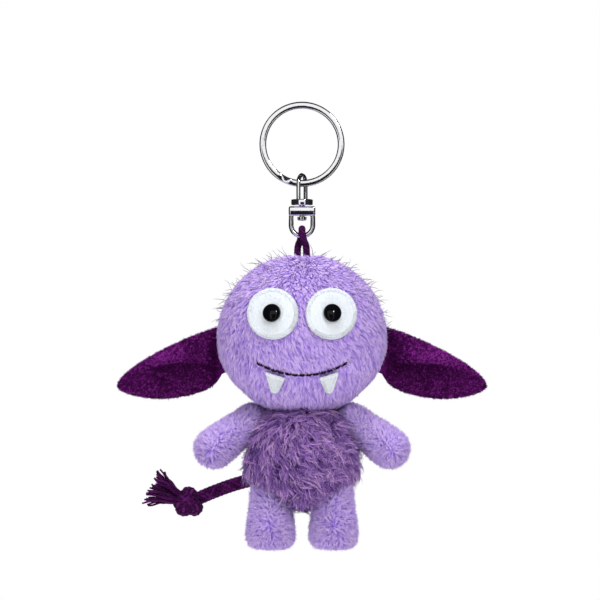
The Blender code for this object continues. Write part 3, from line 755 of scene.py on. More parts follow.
def cube_ball(cuts: int) -> tuple[Array, Array]:
    """Unit directions in even quads, from a cube cut so many times along each edge."""
    grid = np.tan((np.arange(cuts + 1) / cuts * 2 - 1) * math.pi / 4)
    a, b = np.meshgrid(grid, grid, indexing="ij")
    one = np.ones_like(a)
    sides = []
    for axis in range(3):
        for way in (1, -1):
            order = [one * way, a * way, b]
            sides.append(np.stack(order[-axis:] + order[:-axis], -1).reshape(-1, 3))
    index = np.arange((cuts + 1) ** 2).reshape(cuts + 1, cuts + 1)
    quads = np.stack([index[:-1, :-1], index[1:, :-1], index[1:, 1:], index[:-1, 1:]], -1).reshape(-1, 4)
    faces = np.vstack([quads + k * len(sides[0]) for k in range(6)])
    points, merged = np.unique(np.round(np.vstack(sides), 7), axis=0, return_inverse=True)
    return unit(points), merged.reshape(-1)[faces]


@dataclass(frozen=True)
class Egg:
    """A stuffed form about the Z axis, widest at a level, with its own roundness above and below."""

    half_width: float
    half_depth: float
    rise: float
    drop: float
    level: float
    powers: tuple[float, float]

    def shrunk(self, depth: float) -> Egg:
        """The form a depth inside this one."""
        return replace(
            self,
            half_width=self.half_width - depth,
            half_depth=self.half_depth - depth,
            rise=self.rise - depth,
            drop=self.drop - depth,
        )

    def share(self, points: Array) -> Array:
        """How far points lie from the middle: 1 on the form, less inside it."""
        up = points[..., 2] > self.level
        power = np.where(up, *self.powers)
        flat = np.hypot(points[..., 0] / self.half_width, points[..., 1] / self.half_depth)
        high = np.abs(points[..., 2] - self.level) / np.where(up, self.rise, self.drop)
        return (flat**power + high**power) ** (1 / power)

    def ball(self, cuts: int) -> Shape:
        """The form in even quads."""
        points, faces = cube_ball(cuts)
        middle = np.array([0, 0, self.level])
        size = max(self.half_width, self.rise)
        reach = self.share(points * size + middle)
        return Shape(points * (size / reach)[:, None] + middle, [faces])

    def half_at(self, z: Array) -> Array:
        """Half the form's width at heights."""
        up = z > self.level
        height = np.minimum(np.abs(z - self.level) / np.where(up, self.rise, self.drop), 1)
        return self.half_width * np.where(up, *(egg_share(height, power) for power in self.powers))

    def front(self, x: Array, z: Array) -> Array:
        """Points on the front of the form."""
        half = self.half_at(z)
        inside = np.maximum(1 - (x / np.maximum(half, 1e-9)) ** 2, 0)
        return np.stack([x, -half * (self.half_depth / self.half_width) * np.sqrt(inside), z], -1)

    def front_normal(self, x: Array, z: Array) -> Array:
        """Directions out of the front of the form."""
        step = 0.0003
        across = self.front(x + step, z) - self.front(x - step, z)
        up = self.front(x, z + step) - self.front(x, z - step)
        return unit(np.cross(across, up))

    def over_front(self, x: Array, z: Array, height: Array | float) -> Array:
        """Points a height over the front of the form."""
        return self.front(x, z) + self.front_normal(x, z) * np.asarray(height)[..., None]


def apply_modifiers(piece: bpy.types.Object) -> None:
    """Replaces a piece's mesh by what its modifiers make of it, smoothly shaded."""
    graph = bpy.context.evaluated_depsgraph_get()
    old = piece.data
    piece.data = bpy.data.meshes.new_from_object(piece.evaluated_get(graph))
    piece.modifiers.clear()
    bpy.data.meshes.remove(old)
    piece.data.shade_smooth()


def combined(first: bpy.types.Object, second: bpy.types.Object, how: str) -> bpy.types.Object:
    """Joins a second solid to the first, or cuts it away, and drops the second.

    Args:
        first: The object that stays.
        second: The object that goes.
        how: The Boolean modifier's operation.

    Returns:
        The first object.
    """
    step = first.modifiers.new("step", "BOOLEAN")
    step.operation, step.object = how, second
    apply_modifiers(first)
    bpy.data.meshes.remove(second.data)
    first.data.set_sharp_from_angle(angle=math.radians(40))
    return first


def settled(piece: bpy.types.Object, body: str, slot: str, *nodes: str) -> bpy.types.Object:
    """Puts a finished piece on its body in place of CAD nodes, and reports it.

    Args:
        piece: The piece.
        body: The CAD body that carries it.
        slot: The record's material slot. It is not used.
        nodes: The CAD nodes that it stands for.

    Returns:
        The piece.
    """
    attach(piece, body)
    if nodes:
        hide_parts(*nodes)
    LOG.info("%s on %s, %d faces", piece.name, body, len(piece.data.polygons))
    return piece


# Stuffing and pile


@dataclass(frozen=True)
class Stuffing:
    """How a sewn skin is filled."""

    pressure: float = 4.0
    most: float = 0.0012
    frames: int = 16
    scale: float = 10.0
    held_within: float = 0.0012
    quick_rise: float = 0.008

    def fill(self, skin: bpy.types.Object, seam_gap: Array) -> None:
        """Swells a skin between its seams, by cloth simulation on a larger copy.

        Args:
            skin: The skin, which is changed.
            seam_gap: Each point's distance from the nearest seam.
        """
        mesh = skin.data
        rest = coordinates(mesh)
        moved = self._simulated(mesh, rest, seam_gap)
        size = np.linalg.norm(moved, axis=1, keepdims=True)
        moved *= np.tanh(size / self.most) * self.most / np.maximum(size, 1e-9)
        move_points(mesh, rest + moved)
        mesh.update()

    def _simulated(self, mesh: bpy.types.Mesh, rest: Array, seam_gap: Array) -> Array:
        """How far each point moves when the skin is filled."""
        scene = bpy.context.scene
        copy = placed("filling", mesh.copy())
        move_points(copy.data, rest * self.scale)
        held = copy.vertex_groups.new(name="seams")
        held.add(np.flatnonzero(seam_gap < self.held_within).tolist(), 1.0, "REPLACE")
        cloth = copy.modifiers.new("cloth", "CLOTH")
        cloth.settings.quality = 6
        cloth.settings.use_pressure = True
        cloth.settings.uniform_pressure_force = self.pressure
        cloth.settings.vertex_group_mass = held.name
        cloth.settings.effector_weights.gravity = 0
        cloth.point_cache.frame_end = self.frames
        for frame in range(1, self.frames + 1):
            scene.frame_set(frame)
        graph = bpy.context.evaluated_depsgraph_get()
        full = copy.evaluated_get(graph).to_mesh()
        swollen = np.zeros(len(full.vertices) * 3, np.float32)
        full.vertices.foreach_get("co", swollen)
        data = copy.data
        bpy.data.objects.remove(copy)
        bpy.data.meshes.remove(data)
        scene.frame_set(1)
        return swollen.reshape(-1, 3) / self.scale - rest


def vertex_normals(mesh: bpy.types.Mesh) -> Array:
    """A mesh's point normals."""
    found = np.zeros(len(mesh.vertices) * 3, np.float32)
    mesh.vertex_normals.foreach_get("vector", found)
    return found.reshape(-1, 3).astype(float)


def refined(piece: bpy.types.Object) -> bpy.types.Object:
    """Rounds a piece off by one subdivision, applied."""
    step = piece.modifiers.new("round", "SUBSURF")
    step.levels = step.render_levels = 1
    apply_modifiers(piece)
    return piece


class Ground:
    """A finished skin as the ground that pile grows on."""

    def __init__(self, piece: bpy.types.Object) -> None:
        """Reads a skin's triangles."""
        mesh = piece.data
        mesh.calc_loop_triangles()
        triangles = np.zeros(len(mesh.loop_triangles) * 3, np.int32)
        mesh.loop_triangles.foreach_get("vertices", triangles)
        self.points = coordinates(mesh)
        self.normals = vertex_normals(mesh)
        self.triangles = triangles.reshape(-1, 3)
        self.tree = BVHTree.FromPolygons(self.points.tolist(), self.triangles.tolist())

    def scattered(self, count: int, rng: np.random.Generator) -> tuple[Array, Array]:
        """Places spread over the skin, and the directions out of it there."""
        a, b, c = (self.points[self.triangles[:, k]] for k in range(3))
        area = np.linalg.norm(np.cross(b - a, c - a), axis=1)
        chosen = np.searchsorted(np.cumsum(area) / area.sum(), (np.arange(count) + rng.random(count)) / count)
        chosen = np.minimum(chosen, len(area) - 1)
        u, v = rng.random((2, count, 1))
        folded = u + v > 1
        u, v = np.where(folded, 1 - u, u), np.where(folded, 1 - v, v)
        corner = self.triangles[chosen]

        def spread(values: Array) -> Array:
            """Values between a triangle's corners."""
            first, second, third = (values[corner[:, k]] for k in range(3))
            return first + u * (second - first) + v * (third - first)

        return spread(self.points), unit(spread(self.normals))

    def normals_near(self, places: Array) -> Array:
        """Directions out of the skin at its nearest points."""
        return np.array([self.tree.find_nearest(place)[1] for place in places.tolist()])


@dataclass
class Strands:
    """Strands of pile: their lines, radii and tones, and the directions out of the skin at their roots."""

    lines: Array
    radii: Array
    tones: Array
    outward: Array

    def chosen(self, which: Array) -> Strands:
        """Some of the strands."""
        return Strands(self.lines[which], self.radii[which], self.tones[which], self.outward[which])

    def quarters(self, name: str) -> Iterator[tuple[str, Strands]]:
        """The strands in four lots, front and back, left and right, each with a name."""
        front, left = self.lines[:, 0, 1] < 0, self.lines[:, 0, 0] < 0
        for depth, near in (("front", front), ("back", ~front)):
            for side, here in (("left", left), ("right", ~left)):
                yield f"{name}_{depth}_{side}", self.chosen(near & here)

    def piece(self, name: str, material: bpy.types.Material, seed: int = 1) -> bpy.types.Object:
        """The strands as one mesh of closed three-sided tapering solids.

        Args:
            name: The piece's name.
            material: Its pile finish.
            seed: For the turn of each strand's sides.

        Returns:
            The object.
        """
        count, points = self.lines.shape[:2]
        rows = points - 1
        way = unit(np.gradient(self.lines, axis=1))
        spin = np.random.default_rng(seed).normal(size=(count, 1, 3))
        side = unit(np.cross(way, spin))
        other = np.cross(way, side)
        share = np.arange(points) / rows
        taper = 1 - 0.72 * share[:-1] ** 2.2
        wide = (self.radii[:, None] * taper)[..., None]
        rings = [
            self.lines[:, :-1] + wide * (math.cos(t) * side[:, :-1] + math.sin(t) * other[:, :-1])
            for t in circle(3)
        ]
        body = np.stack(rings, 2).reshape(count, rows * 3, 3)
        solid = np.concatenate([body, self.lines[:, -1:]], 1)
        each = rows * 3 + 1
        start = (np.arange(count) * each)[:, None, None]
        low = np.arange(rows - 1)[:, None] * 3 + np.arange(3)
        ahead = np.arange(rows - 1)[:, None] * 3 + np.roll(np.arange(3), -1)
        quads = np.stack([low, ahead, ahead + 3, low + 3], -1).reshape(1, -1, 4) + start
        tip = (rows - 1) * 3 + np.arange(3)
        tips = np.stack([tip, np.roll(tip, -1), np.full(3, rows * 3)], -1)[None] + start
        caps = np.array([[[2, 1, 0]]]) + start
        along = np.concatenate([np.repeat(share[:-1], 3), [1.0]])
        tuft = np.stack(np.broadcast_arrays(along[None], self.tones[:, None], 0.0), -1).reshape(-1, 3)
        faces = [caps.reshape(-1, 3), quads.reshape(-1, 4), tips.reshape(-1, 3)]
        made = Shape(solid.reshape(-1, 3), faces, {TUFT: tuft}).piece(name, material, 180)
        self._lay_out(made.data, each, count)
        turned = unit(vertex_normals(made.data).reshape(count, each, 3) + 1.7 * self.outward[:, None])
        made.data.normals_split_custom_set_from_vertices(turned.reshape(-1, 3).tolist())
        return made

    def _lay_out(self, mesh: bpy.types.Mesh, each: int, count: int) -> None:
        """Maps every strand by its tone and share of length, so that like colours share a place."""
        corners = np.zeros(len(mesh.loops), np.int32)
        mesh.loops.foreach_get("vertex_index", corners)
        strand, spot = corners // each, corners % each
        width = 0.004
        across = np.where(spot == each - 1, 0, spot % 3 - 1) * width
        along = np.minimum(spot // 3, (each - 1) // 3) / ((each - 1) // 3)
        lifted = np.zeros(len(corners))
        lifted[1 : 3 * count : 3] = width * 2
        places = np.stack([0.02 + 0.96 * self.tones[strand] + across, 0.01 + 0.97 * along + lifted], -1)
        layer = mesh.uv_layers.new(name="OFBake")
        layer.uv.foreach_set("vector", places.astype(np.float32).ravel())


@dataclass(frozen=True)
class Groom:
    """How a pile grows and is brushed. Lengths are in metres and angles in degrees."""

    strands: int
    length: float
    radius: float
    lift: tuple[float, float]
    points: int = 4
    per_lock: int = 5
    uneven: float = 0.2
    gather: float = 0.5
    stray: float = 0.2
    wander: float = 25
    mottle: tuple[float, float] = (0.14, 0.17)
    curl: float = 0.0
    waves: float = 1.0
    patch: float = 0.012
    seed: int = 1

    def grown(self, ground: Ground, comb: Field, keep: Field, lighter: Field | None = None) -> Strands:
        """Grows the pile in locks that are brushed one way.

        Args:
            ground: The skin.
            comb: The way that pile is brushed at given places.
            keep: The share of its length that pile keeps at given places, 0 where there is none.
            lighter: How much lighter its tone is at given places.

        Returns:
            The strands.
        """
        rng = np.random.default_rng(self.seed)
        roots, normals = ground.scattered(self.strands, rng)
        lengths = keep(roots)
        stays = lengths > 0.05
        roots, normals, lengths = roots[stays], normals[stays], lengths[stays]
        count = len(roots)
        leaders = rng.permutation(count)[: max(1, count // self.per_lock)]
        guides, side = self._guides(ground, roots[leaders], normals[leaders], comb, rng)
        tree = KDTree(len(leaders))
        for k, place in enumerate(roots[leaders]):
            tree.insert(place, k)
        tree.balance()
        lock = np.array([tree.find(place)[1] for place in roots])

        share = np.linspace(0, 1, self.points)
        length = lengths * (1 + self.uneven * rng.uniform(-1, 1, count))
        apart = roots - roots[leaders][lock]
        lines = roots[:, None] + (guides[lock] - guides[lock][:, :1]) * length[:, None, None]
        lines -= apart[:, None] * (self.gather * share**1.2)[None, :, None]
        astray = rng.normal(size=(count, 3)) * self.stray * self.length
        lines += astray[:, None] * (share**1.4)[None, :, None] * length[:, None, None]
        if self.curl:
            phase = rng.uniform(0, 2 * math.pi, len(leaders))[lock] + rng.normal(0, 0.5, count)
            turn = 2 * math.pi * self.waves * share[None] + phase[:, None]
            swing = (self.curl * np.minimum(2 * share, 1))[None] * (np.sin(turn) - np.sin(phase)[:, None])
            bob = 0.5 * (self.curl * share)[None] * np.cos(turn)
            lines += swing[..., None] * side[lock][:, None] + bob[..., None] * normals[:, None]
        cloud = sum(np.sin(roots @ rng.normal(size=3) * (2 * math.pi / self.patch)) for _ in range(4)) / 4
        tones = 0.5 + 0.08 * cloud + self.mottle[0] * rng.normal(size=len(leaders))[lock]
        tones += self.mottle[1] * rng.normal(size=count)
        if lighter:
            tones += lighter(roots)
        radii = self.radius * (1 + 0.25 * rng.uniform(-1, 1, count))
        return Strands(lines, radii, np.clip(tones, 0, 1), normals)

    def _guides(
        self, ground: Ground, roots: Array, normals: Array, comb: Field, rng: np.random.Generator
    ) -> tuple[Array, Array]:
        """The locks' own lines, which follow the skin's curve, and their side directions."""
        way = along_plane(comb(roots), normals)
        side = np.cross(normals, way)
        turn = np.radians(self.wander) * rng.normal(size=(len(roots), 1))
        way = way * np.cos(turn) + side * np.sin(turn)
        side = np.cross(normals, way)
        step = self.length / (self.points - 1)
        line = [roots]
        for k in range(1, self.points):
            done = (k - 0.5) / (self.points - 1)
            lift = math.radians(self.lift[0] + (self.lift[1] - self.lift[0]) * done)
            line.append(line[-1] + (way * math.cos(lift) + normals * math.sin(lift)) * step)
            if self.points > 2:
                normals = ground.normals_near(line[-1])
                way = along_plane(way, normals)
        return np.stack(line, 1), side


# Metal


@dataclass
class KeyRing:
    """Two turns of flat polished wire in one length."""

    bore: float = 0.025
    wire_width: float = 0.0024
    turn_thickness: float = 0.0009
    turn_gap: float = 0.0004
    edge: tuple[float, float] = (0.00095, 0.00043)
    split: float = math.radians(-115)
    step_arc: float = math.radians(22)
    end_arc: float = math.radians(4)
    steps: int = 260

    def section(self) -> Array:
        """The wire's section: a flat bar with rounded corners."""
        edge = np.array(self.edge)
        corner = np.array([self.wire_width, self.turn_thickness]) / 2 - edge
        rounds = []
        for k, signs in enumerate(((1, 1), (-1, 1), (-1, -1), (1, -1))):
            turn = math.pi / 2 * (k + np.arange(8) / 7)
            rounds.append(np.array(signs) * corner + edge * np.stack([np.cos(turn), np.sin(turn)], -1))
        return np.vstack(rounds)

    def build(self) -> None:
        """Makes the ring."""
        lane = (self.turn_thickness + self.turn_gap) / 2
        first = self.split + self.step_arc / 2 + self.end_arc
        last = self.split + 4 * math.pi - self.step_arc / 2 - self.end_arc
        angle = np.linspace(first, last, self.steps)
        step_end = self.split + 2 * math.pi + self.step_arc / 2
        share = rise(angle - step_end, self.step_arc, 1)
        middle = lane * (2 * smooth(share) - 1)
        section = self.section()
        out = (self.bore + self.wire_width) / 2 + section[:, 0]
        rows = np.stack([
            np.cos(angle)[:, None] * out,
            middle[:, None] + section[:, 1],
            np.sin(angle)[:, None] * out - self.bore / 2,
        ], -1)
        ring = loft(rows).piece("key_ring_wire", CHROME.material("ring_chrome"), 40)
        settled(ring, "key_ring", "chrome", "split_ring")


@dataclass
class Swivel:
    """A bow that turns in a bored yoke, and the yoke's bail."""

    wire_level: float = -0.0262
    bow_radius: float = 0.002955
    bow_wire: float = 0.0015
    bow_turn: float = math.radians(25)
    collar_top: float = -0.0317
    collar_bottom: float = -0.0339
    collar_radius: float = 0.003905
    stem: float = 0.0010
    rivet: float = 0.0017
    rivet_height: float = 0.0014
    block_top: float = -0.0342
    block_bottom: float = -0.0376
    block_width: float = 0.0094
    block_depth: float = 0.0046
    block_edge: float = 0.0007
    bail_wire: float = 0.0018
    bail_level: float = -0.0408
    fit: float = 0.0003

    def build(self) -> None:
        """Makes the bow with its collar and rivet, and the yoke."""
        chrome = CHROME.material("swivel_chrome")
        bow = self._turned().piece("swivel_bow", chrome, 40)
        combined(bow, tube(self._bow_path(), self.bow_wire / 2, 20).piece("bow_wire"), "UNION")
        settled(bow, "eye", "chrome", "swivel_eye")
        yoke = self._block(chrome)
        combined(yoke, tube(self._bail_path(), self.bail_wire / 2, 20).piece("bail_wire"), "UNION")
        hole, past = self.stem + self.fit, 0.002
        bore = lathe([(hole, self.block_bottom - past), (hole, self.block_top + past)], 40)
        combined(yoke, bore.piece("bore"), "DIFFERENCE")
        settled(yoke, "yoke", "chrome", "swivel_yoke")

    @staticmethod
    def _hoop(foot: float, level: float, radius: float, up: int) -> tuple[Array, Array]:
        """A wire's places across and its heights, from its foot round half a turn and back.

        Args:
            foot: The height of its ends.
            level: The height of the half turn's middle.
            radius: The half turn's radius.
            up: 1 where it goes over, -1 where it goes under.

        Returns:
            The places across and the heights.
        """
        turn = np.linspace(0, math.pi, 40)
        across = np.concatenate([[-1], -np.cos(turn), [1]]) * radius
        return across, np.concatenate([[foot], level + up * radius * np.sin(turn), [foot]])

    def _bow_path(self) -> Array:
        """The bow's wire, up from the collar, over the ring and down."""
        foot = (self.collar_top + self.collar_bottom) / 2
        across, height = self._hoop(foot, self.wire_level, self.bow_radius, 1)
        return np.stack([math.sin(self.bow_turn) * across, math.cos(self.bow_turn) * across, height], -1)

    def _bail_path(self) -> Array:
        """The bail's wire, down from the block, round and up."""
        reach = (self.block_width - self.bail_wire) / 2
        foot = (self.block_top + self.block_bottom) / 2
        across, height = self._hoop(foot, self.bail_level, reach, -1)
        return np.stack([across, np.zeros_like(across), height], -1)

    def _turned(self) -> Shape:
        """The collar with rounded rims, the stem and the peened rivet head."""
        rim = 0.0004
        turn = np.linspace(0, math.pi / 2, 5)
        inner = self.collar_radius - rim
        upper = [(inner + rim * math.sin(t), self.collar_top - rim + rim * math.cos(t)) for t in turn]
        lower = [(r, self.collar_top + self.collar_bottom - z) for r, z in reversed(upper)]
        head_top = self.block_bottom - self.fit
        drop = self.rivet_height * 0.5
        head = [
            (self.rivet - drop + drop * math.cos(t), head_top - self.rivet_height + drop - drop * math.sin(t))
            for t in turn
        ]
        stem = [(self.stem, self.collar_bottom), (self.stem, head_top), (self.rivet, head_top)]
        return lathe([*upper, *lower, *stem, *head], 56)

    def _block(self, chrome: bpy.types.Material) -> bpy.types.Object:
        """The yoke's block with rounded edges."""
        shape = bmesh.new()
        bmesh.ops.create_cube(shape, size=1)
        tall, middle = self.block_top - self.block_bottom, (self.block_top + self.block_bottom) / 2
        for vert in shape.verts:
            x, y, z = vert.co
            vert.co = Vector((x * self.block_width, y * self.block_depth, middle + z * tall))
        bmesh.ops.bevel(
            shape, geom=list(shape.edges), offset=self.block_edge, segments=5, affect="EDGES", profile=0.5
        )
        mesh = bpy.data.meshes.new("swivel_yoke_block")
        shape.to_mesh(mesh)
        shape.free()
        mesh.materials.append(chrome)
        return placed("swivel_block", mesh)


# Cords


def drawn_knot(centre: Array, way: Array, size: float, cord: float, seed: int) -> Shape:
    """A drawn-up knot: turns of cord wound about an axis that swings round as they go.

    Args:
        centre: Its middle.
        way: The direction of the cord that it is tied in.
        size: How wide it is.
        cord: The diameter of the cord in it.
        seed: For the yarns' tones.

    Returns:
        The knot's braided cord as a shape.
    """
    turns = 2
    share = np.linspace(0, 1, 40 * turns + 1)
    turn, swing = 2 * math.pi * turns * share, math.pi * share
    flat = np.stack([np.cos(turn), np.sin(turn) * np.cos(swing), np.sin(turn) * np.sin(swing)], -1)
    turned = np.array(Vector(way).to_track_quat("Y", "Z").to_matrix())
    path = flat * ((size - cord) / 2) @ turned.T + centre
    return Braid(cord, pitch=cord * 2.6).along(path, seed)


@dataclass
class HangLoop:
    """A doubled braided cord over the yoke's bar, knotted inside the head."""

    cord: float = 0.0026
    bar_level: float = -0.0446
    bar: float = 0.0018
    drop: float = 0.0061
    spread: float = 0.0032
    tail: float = 0.0035
    head_top: float = -0.0507
    pile: float = 0.003
    fit: float = 0.0003
    knot: float = 0.0068

    def path(self) -> Array:
        """The strand from inside the head, over the bar and back into the head beside itself."""
        over = self.bar / 2 + self.fit + self.cord / 2
        out = self.spread / 2
        up = np.array([
            (-out, self.cord * 0.2, self.head_top - self.pile - self.tail),
            (-out, self.cord * 0.25, self.head_top - self.pile / 2),
            (-out * 0.9, over * 0.5, self.bar_level - self.drop * 0.62),
            (-out * 0.4, over * 0.95, self.bar_level - self.drop * 0.25),
        ])
        turn = np.linspace(0, math.pi, 9)[1:-1]
        round_bar = np.stack([0 * turn, over * np.cos(turn), self.bar_level + over * np.sin(turn)], -1)
        return smooth_path(np.vstack([up, round_bar, up[::-1] * (-1, -1, 1)]), 8)

    def build(self) -> None:
        """Makes the loop and its knot."""
        yarn = PLUM_YARN.material("loop_yarn")
        braid = Braid(self.cord, yarns=12, yarn=0.24, pitch=0.0062)
        loop = braid.along(self.path(), 3).piece("hang_loop_braid", yarn)
        settled(loop, "head", "plum_cord", "hang_loop")
        lower = self.head_top - self.pile - self.tail - self.fit - self.knot / 2
        knot = drawn_knot(np.array([0, 0, lower]), np.array([0, 0, 1.0]), self.knot, self.cord, 4)
        settled(knot.piece("hang_loop_knot", yarn), "head", "plum_cord", "loop_knot")


@dataclass
class Tail:
    """A stiff braided cord with a knot and a frayed end."""

    cord: float = 0.005
    knot: float = 0.0118
    knot_seat: float = 0.0012
    knot_reach: float = 0.0049
    fringe: float = 0.0128
    fringe_lift: float = math.radians(24)
    fringe_yarns: int = 72
    fringe_yarn: float = 0.00085
    fringe_start: float = 0.0026
    fringe_bundle: float = 0.0020
    fringe_crinkle: float = 0.00040
    root: tuple[float, float, float] = (0.0, 0.017098, -0.13)
    route: tuple[tuple[float, float, float], ...] = (
        (0, 0, 0), (-0.0008, 0.0038, 0.0002), (-0.0029, 0.0071, 0.0003), (-0.0062, 0.0092, 0.0003),
        (-0.0102, 0.0101, 0.0000), (-0.0172, 0.0103, -0.0012), (-0.0248, 0.0099, -0.0032),
        (-0.0320, 0.0091, -0.0058), (-0.0370, 0.0083, -0.0079),
    )

    def build(self) -> None:
        yarn = PLUM_YARN.material("tail_yarn")
        path = smooth_path(np.array(self.root) + np.array(self.route), 6)
        way = unit(path[-1] - path[-2])
        rope = Braid(self.cord, pitch=0.013).along(path, 7).piece("tail_braid", yarn)
        settled(rope, "tail", "plum_cord", "tail_cord")
        centre = path[-1] + way * (self.knot_reach - self.knot_seat)
        knot = drawn_knot(centre, way, self.knot, self.cord * 1.15, 8).piece("tail_knot_braid", yarn)
        settled(knot, "tail", "plum_cord", "tail_knot")
        frayed = self._frayed(centre).piece("tail_fringe_yarns", yarn)
        settled(frayed, "tail", "plum_cord", "tail_fringe")
        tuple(self.root)

    def _frayed(self, centre: Array) -> Shape:
        """Loose yarns that fan out and up from the knot, some of them crinkled."""
        rng = np.random.default_rng(21)
        fan = np.array([-math.cos(self.fringe_lift), 0, math.sin(self.fringe_lift)])
        up = np.array([math.sin(self.fringe_lift), 0, math.cos(self.fringe_lift)])
        across = np.array([0, 1.0, 0])
        share = np.linspace(0, 1, 14)[:, None]
        made = []
        for _ in range(self.fringe_yarns):
            turn, out = rng.uniform(0, 2 * math.pi), math.sqrt(rng.random())
            high, wide = out * math.sin(turn), out * math.cos(turn)
            start = centre + fan * self.fringe_start + (up * high + across * wide) * self.fringe_bundle
            long = self.fringe * rng.uniform(0.72, 1.0)
            spread = (up * high * 0.0040 + across * wide * 0.0026) * share**1.3
            crinkle = self.fringe_crinkle * np.sin(share * rng.uniform(5, 14) + rng.uniform(0, 6)) * share
            bend = (up * rng.normal(0, 0.0012) + across * rng.normal(0, 0.0009)) * share**2.5
            line = start + fan * long * share + spread + bend + crinkle * (up + across * rng.uniform(-1, 1))
            taper = self.fringe_yarn / 2 * np.linspace(1.1, 0.75, 14)
            made.append(tube(line, taper, 6, rng.uniform(0.1, 0.9)))
        return sum(made)


# The stuffed creature


HEAD_FORM = Egg(0.030, 0.025, 0.030, 0.0245, -0.0807, (2.0, 2.1))
BODY_FORM = Egg(0.021, 0.017, 0.0215, 0.0190, -0.1225, (2.3, 2.3))
NECK_CENTRE = (0.0, 0.0, -0.063958)
NECK_DISH = 0.0416


@dataclass
class Face:
    """Felt eyes with bead pupils, a stitched mouth and two felt teeth, on the front of the head."""

    eye_felt: float = 0.0165
    eye_span: float = 0.0195
    eye_rise: float = 0.0087
    felt: float = 0.0012
    bead: float = 0.0064
    bead_height: float = 0.0027
    shank: float = 0.0016
    shank_depth: float = 0.0058
    mouth_width: float = 0.032
    mouth_drop: float = 0.0125
    mouth_curve: float = 0.0045
    thread: float = 0.001
    tooth_width: float = 0.0056
    tooth_length: float = 0.0052
    tooth_span: float = 0.018
    fit: float = 0.0003
    stitches: int = 13
    border_pitch: float = 0.00030
    border_thread: float = 0.00019

    def mouth_level(self, x: Array) -> Array:
        """Height of the mouth at distances from the middle of the face."""
        return HEAD_FORM.level - self.mouth_drop + self.mouth_curve * (2 * x / self.mouth_width) ** 2

    def eye_middle(self, sign: int) -> tuple[float, float]:
        """An eye's place across and up the face."""
        return sign * self.eye_span / 2, HEAD_FORM.level + self.eye_rise

    def clear(self, places: Array) -> Array:
        """The share of its length that pile keeps by the face's pieces."""
        keep = np.ones(len(places))
        x, z = places[:, 0], places[:, 2]
        for sign in (-1, 1):
            across, level = self.eye_middle(sign)
            far = np.hypot(x - across, z - level) - self.eye_felt / 2
            by_eye = rise(far, 0.003, 0.45) * (far > -0.0004)
            top = self.mouth_level(np.array(sign * self.tooth_span / 2)) - self.thread / 2
            tooth = np.maximum(np.abs(x - sign * self.tooth_span / 2) - self.tooth_width / 2 * 0.8, 0)
            below = np.maximum(np.maximum(z - top, top - self.tooth_length * 0.9 - z), 0)
            far = np.hypot(tooth, below)
            by_tooth = rise(far, 0.002, 0.35) * (far > 0.0001)
            keep = np.minimum.reduce([keep, by_eye, by_tooth])
        gap = np.abs(z - self.mouth_level(x)) + np.maximum(np.abs(x) - self.mouth_width / 2, 0)
        by_mouth = rise(gap, 0.0035, 0.40)
        return np.where(places[:, 1] < 0, np.minimum(keep, by_mouth), 1.0)

    def build(self) -> None:
        """Makes the eyes, the mouth and the teeth."""
        felt, white = WHITE_FELT.material("white_felt"), WHITE_THREAD.material("white_thread")
        fuzz, black = FUZZ_PILE.material("felt_fuzz"), BLACK_GLOSS.material("bead_black")
        for sign, side in SIDES:
            eye = self._eye_outline(sign)
            tooth = self._tooth_outline(sign)
            for name, node, outline, seam in (
                ("eye_disc", "eye_felt", eye, 0.0011), ("tooth", "fang", tooth, 0.0007),
            ):
                patch = self._patch(outline).piece(f"{name}_{side}", felt, 80)
                settled(patch, "head", "white_felt", f"{node}_{side}")
                stitches = self._stitched(outline, seam).piece(f"{name}_stitches_{side}", white)
                settled(stitches, "head", "white_felt")
                settled(self._fuzz(patch, fuzz, f"{name}_fuzz_{side}"), "head", "white_felt")
            bead = self._bead(sign).piece(f"bead_{side}", black, 50)
            settled(bead, "head", "black_gloss", f"eye_bead_{side}")
        mouth = self._mouth().piece("mouth_stitches", DARK_THREAD.material("mouth_thread"))
        settled(mouth, "head", "dark_thread", "mouth_thread")

    def _eye_outline(self, sign: int) -> Array:
        """An eye's edge as points across and up the face."""
        turn = circle(72)
        return np.stack([np.cos(turn), np.sin(turn)], -1) * self.eye_felt / 2 + self.eye_middle(sign)

    def _tooth_outline(self, sign: int) -> Array:
        """A tooth's edge: straight along the mouth, tapering to a rounded tip."""
        middle, half = sign * self.tooth_span / 2, self.tooth_width / 2
        gap = self.thread / 2 + 2 * self.fit
        x = middle + np.linspace(-half, half, 15)
        upper = np.stack([x, self.mouth_level(x) - gap], -1)
        top = float(self.mouth_level(np.array(middle))) - gap
        tip = half * 0.5
        turn = np.radians(np.linspace(-15, -165, 15))
        tip_level = top - self.tooth_length + tip
        lower = np.stack([middle + tip * np.cos(turn), tip_level + tip * np.sin(turn)], -1)
        down = np.linspace(upper[-1], lower[0], 8)[1:-1]
        back = np.linspace(lower[-1], upper[0], 8)[1:-1]
        return np.vstack([upper, down, lower, back])[::-1]

    def _patch(self, outline: Array) -> Shape:
        """A felt piece with rounded edges that lies on the face."""
        middle = outline.mean(0)
        edge = 0.0004
        turn = np.linspace(-math.pi / 2, math.pi / 2, 7)
        reach = np.linalg.norm(outline - middle, axis=1).mean()
        rims = 1 - (edge - edge * np.cos(turn)) / reach
        heights = self.fit + self.felt / 2 + (self.felt / 2) * np.sin(turn)
        innermost = 0.12
        under = np.linspace(innermost, rims[0], 7)[:-1]
        shares = np.concatenate([under, rims, np.linspace(rims[-1], innermost, 7)[1:]])
        levels = np.concatenate([np.full(6, heights[0]), heights, np.full(6, heights[-1])])
        flat = middle + (outline - middle)[None] * shares[:, None, None]
        rows = HEAD_FORM.over_front(flat[..., 0], flat[..., 1], np.repeat(levels[:, None], len(outline), 1))
        ends = [HEAD_FORM.over_front(*middle, level) for level in (heights[0], heights[-1])]
        return loft(rows, ends[0], ends[1])

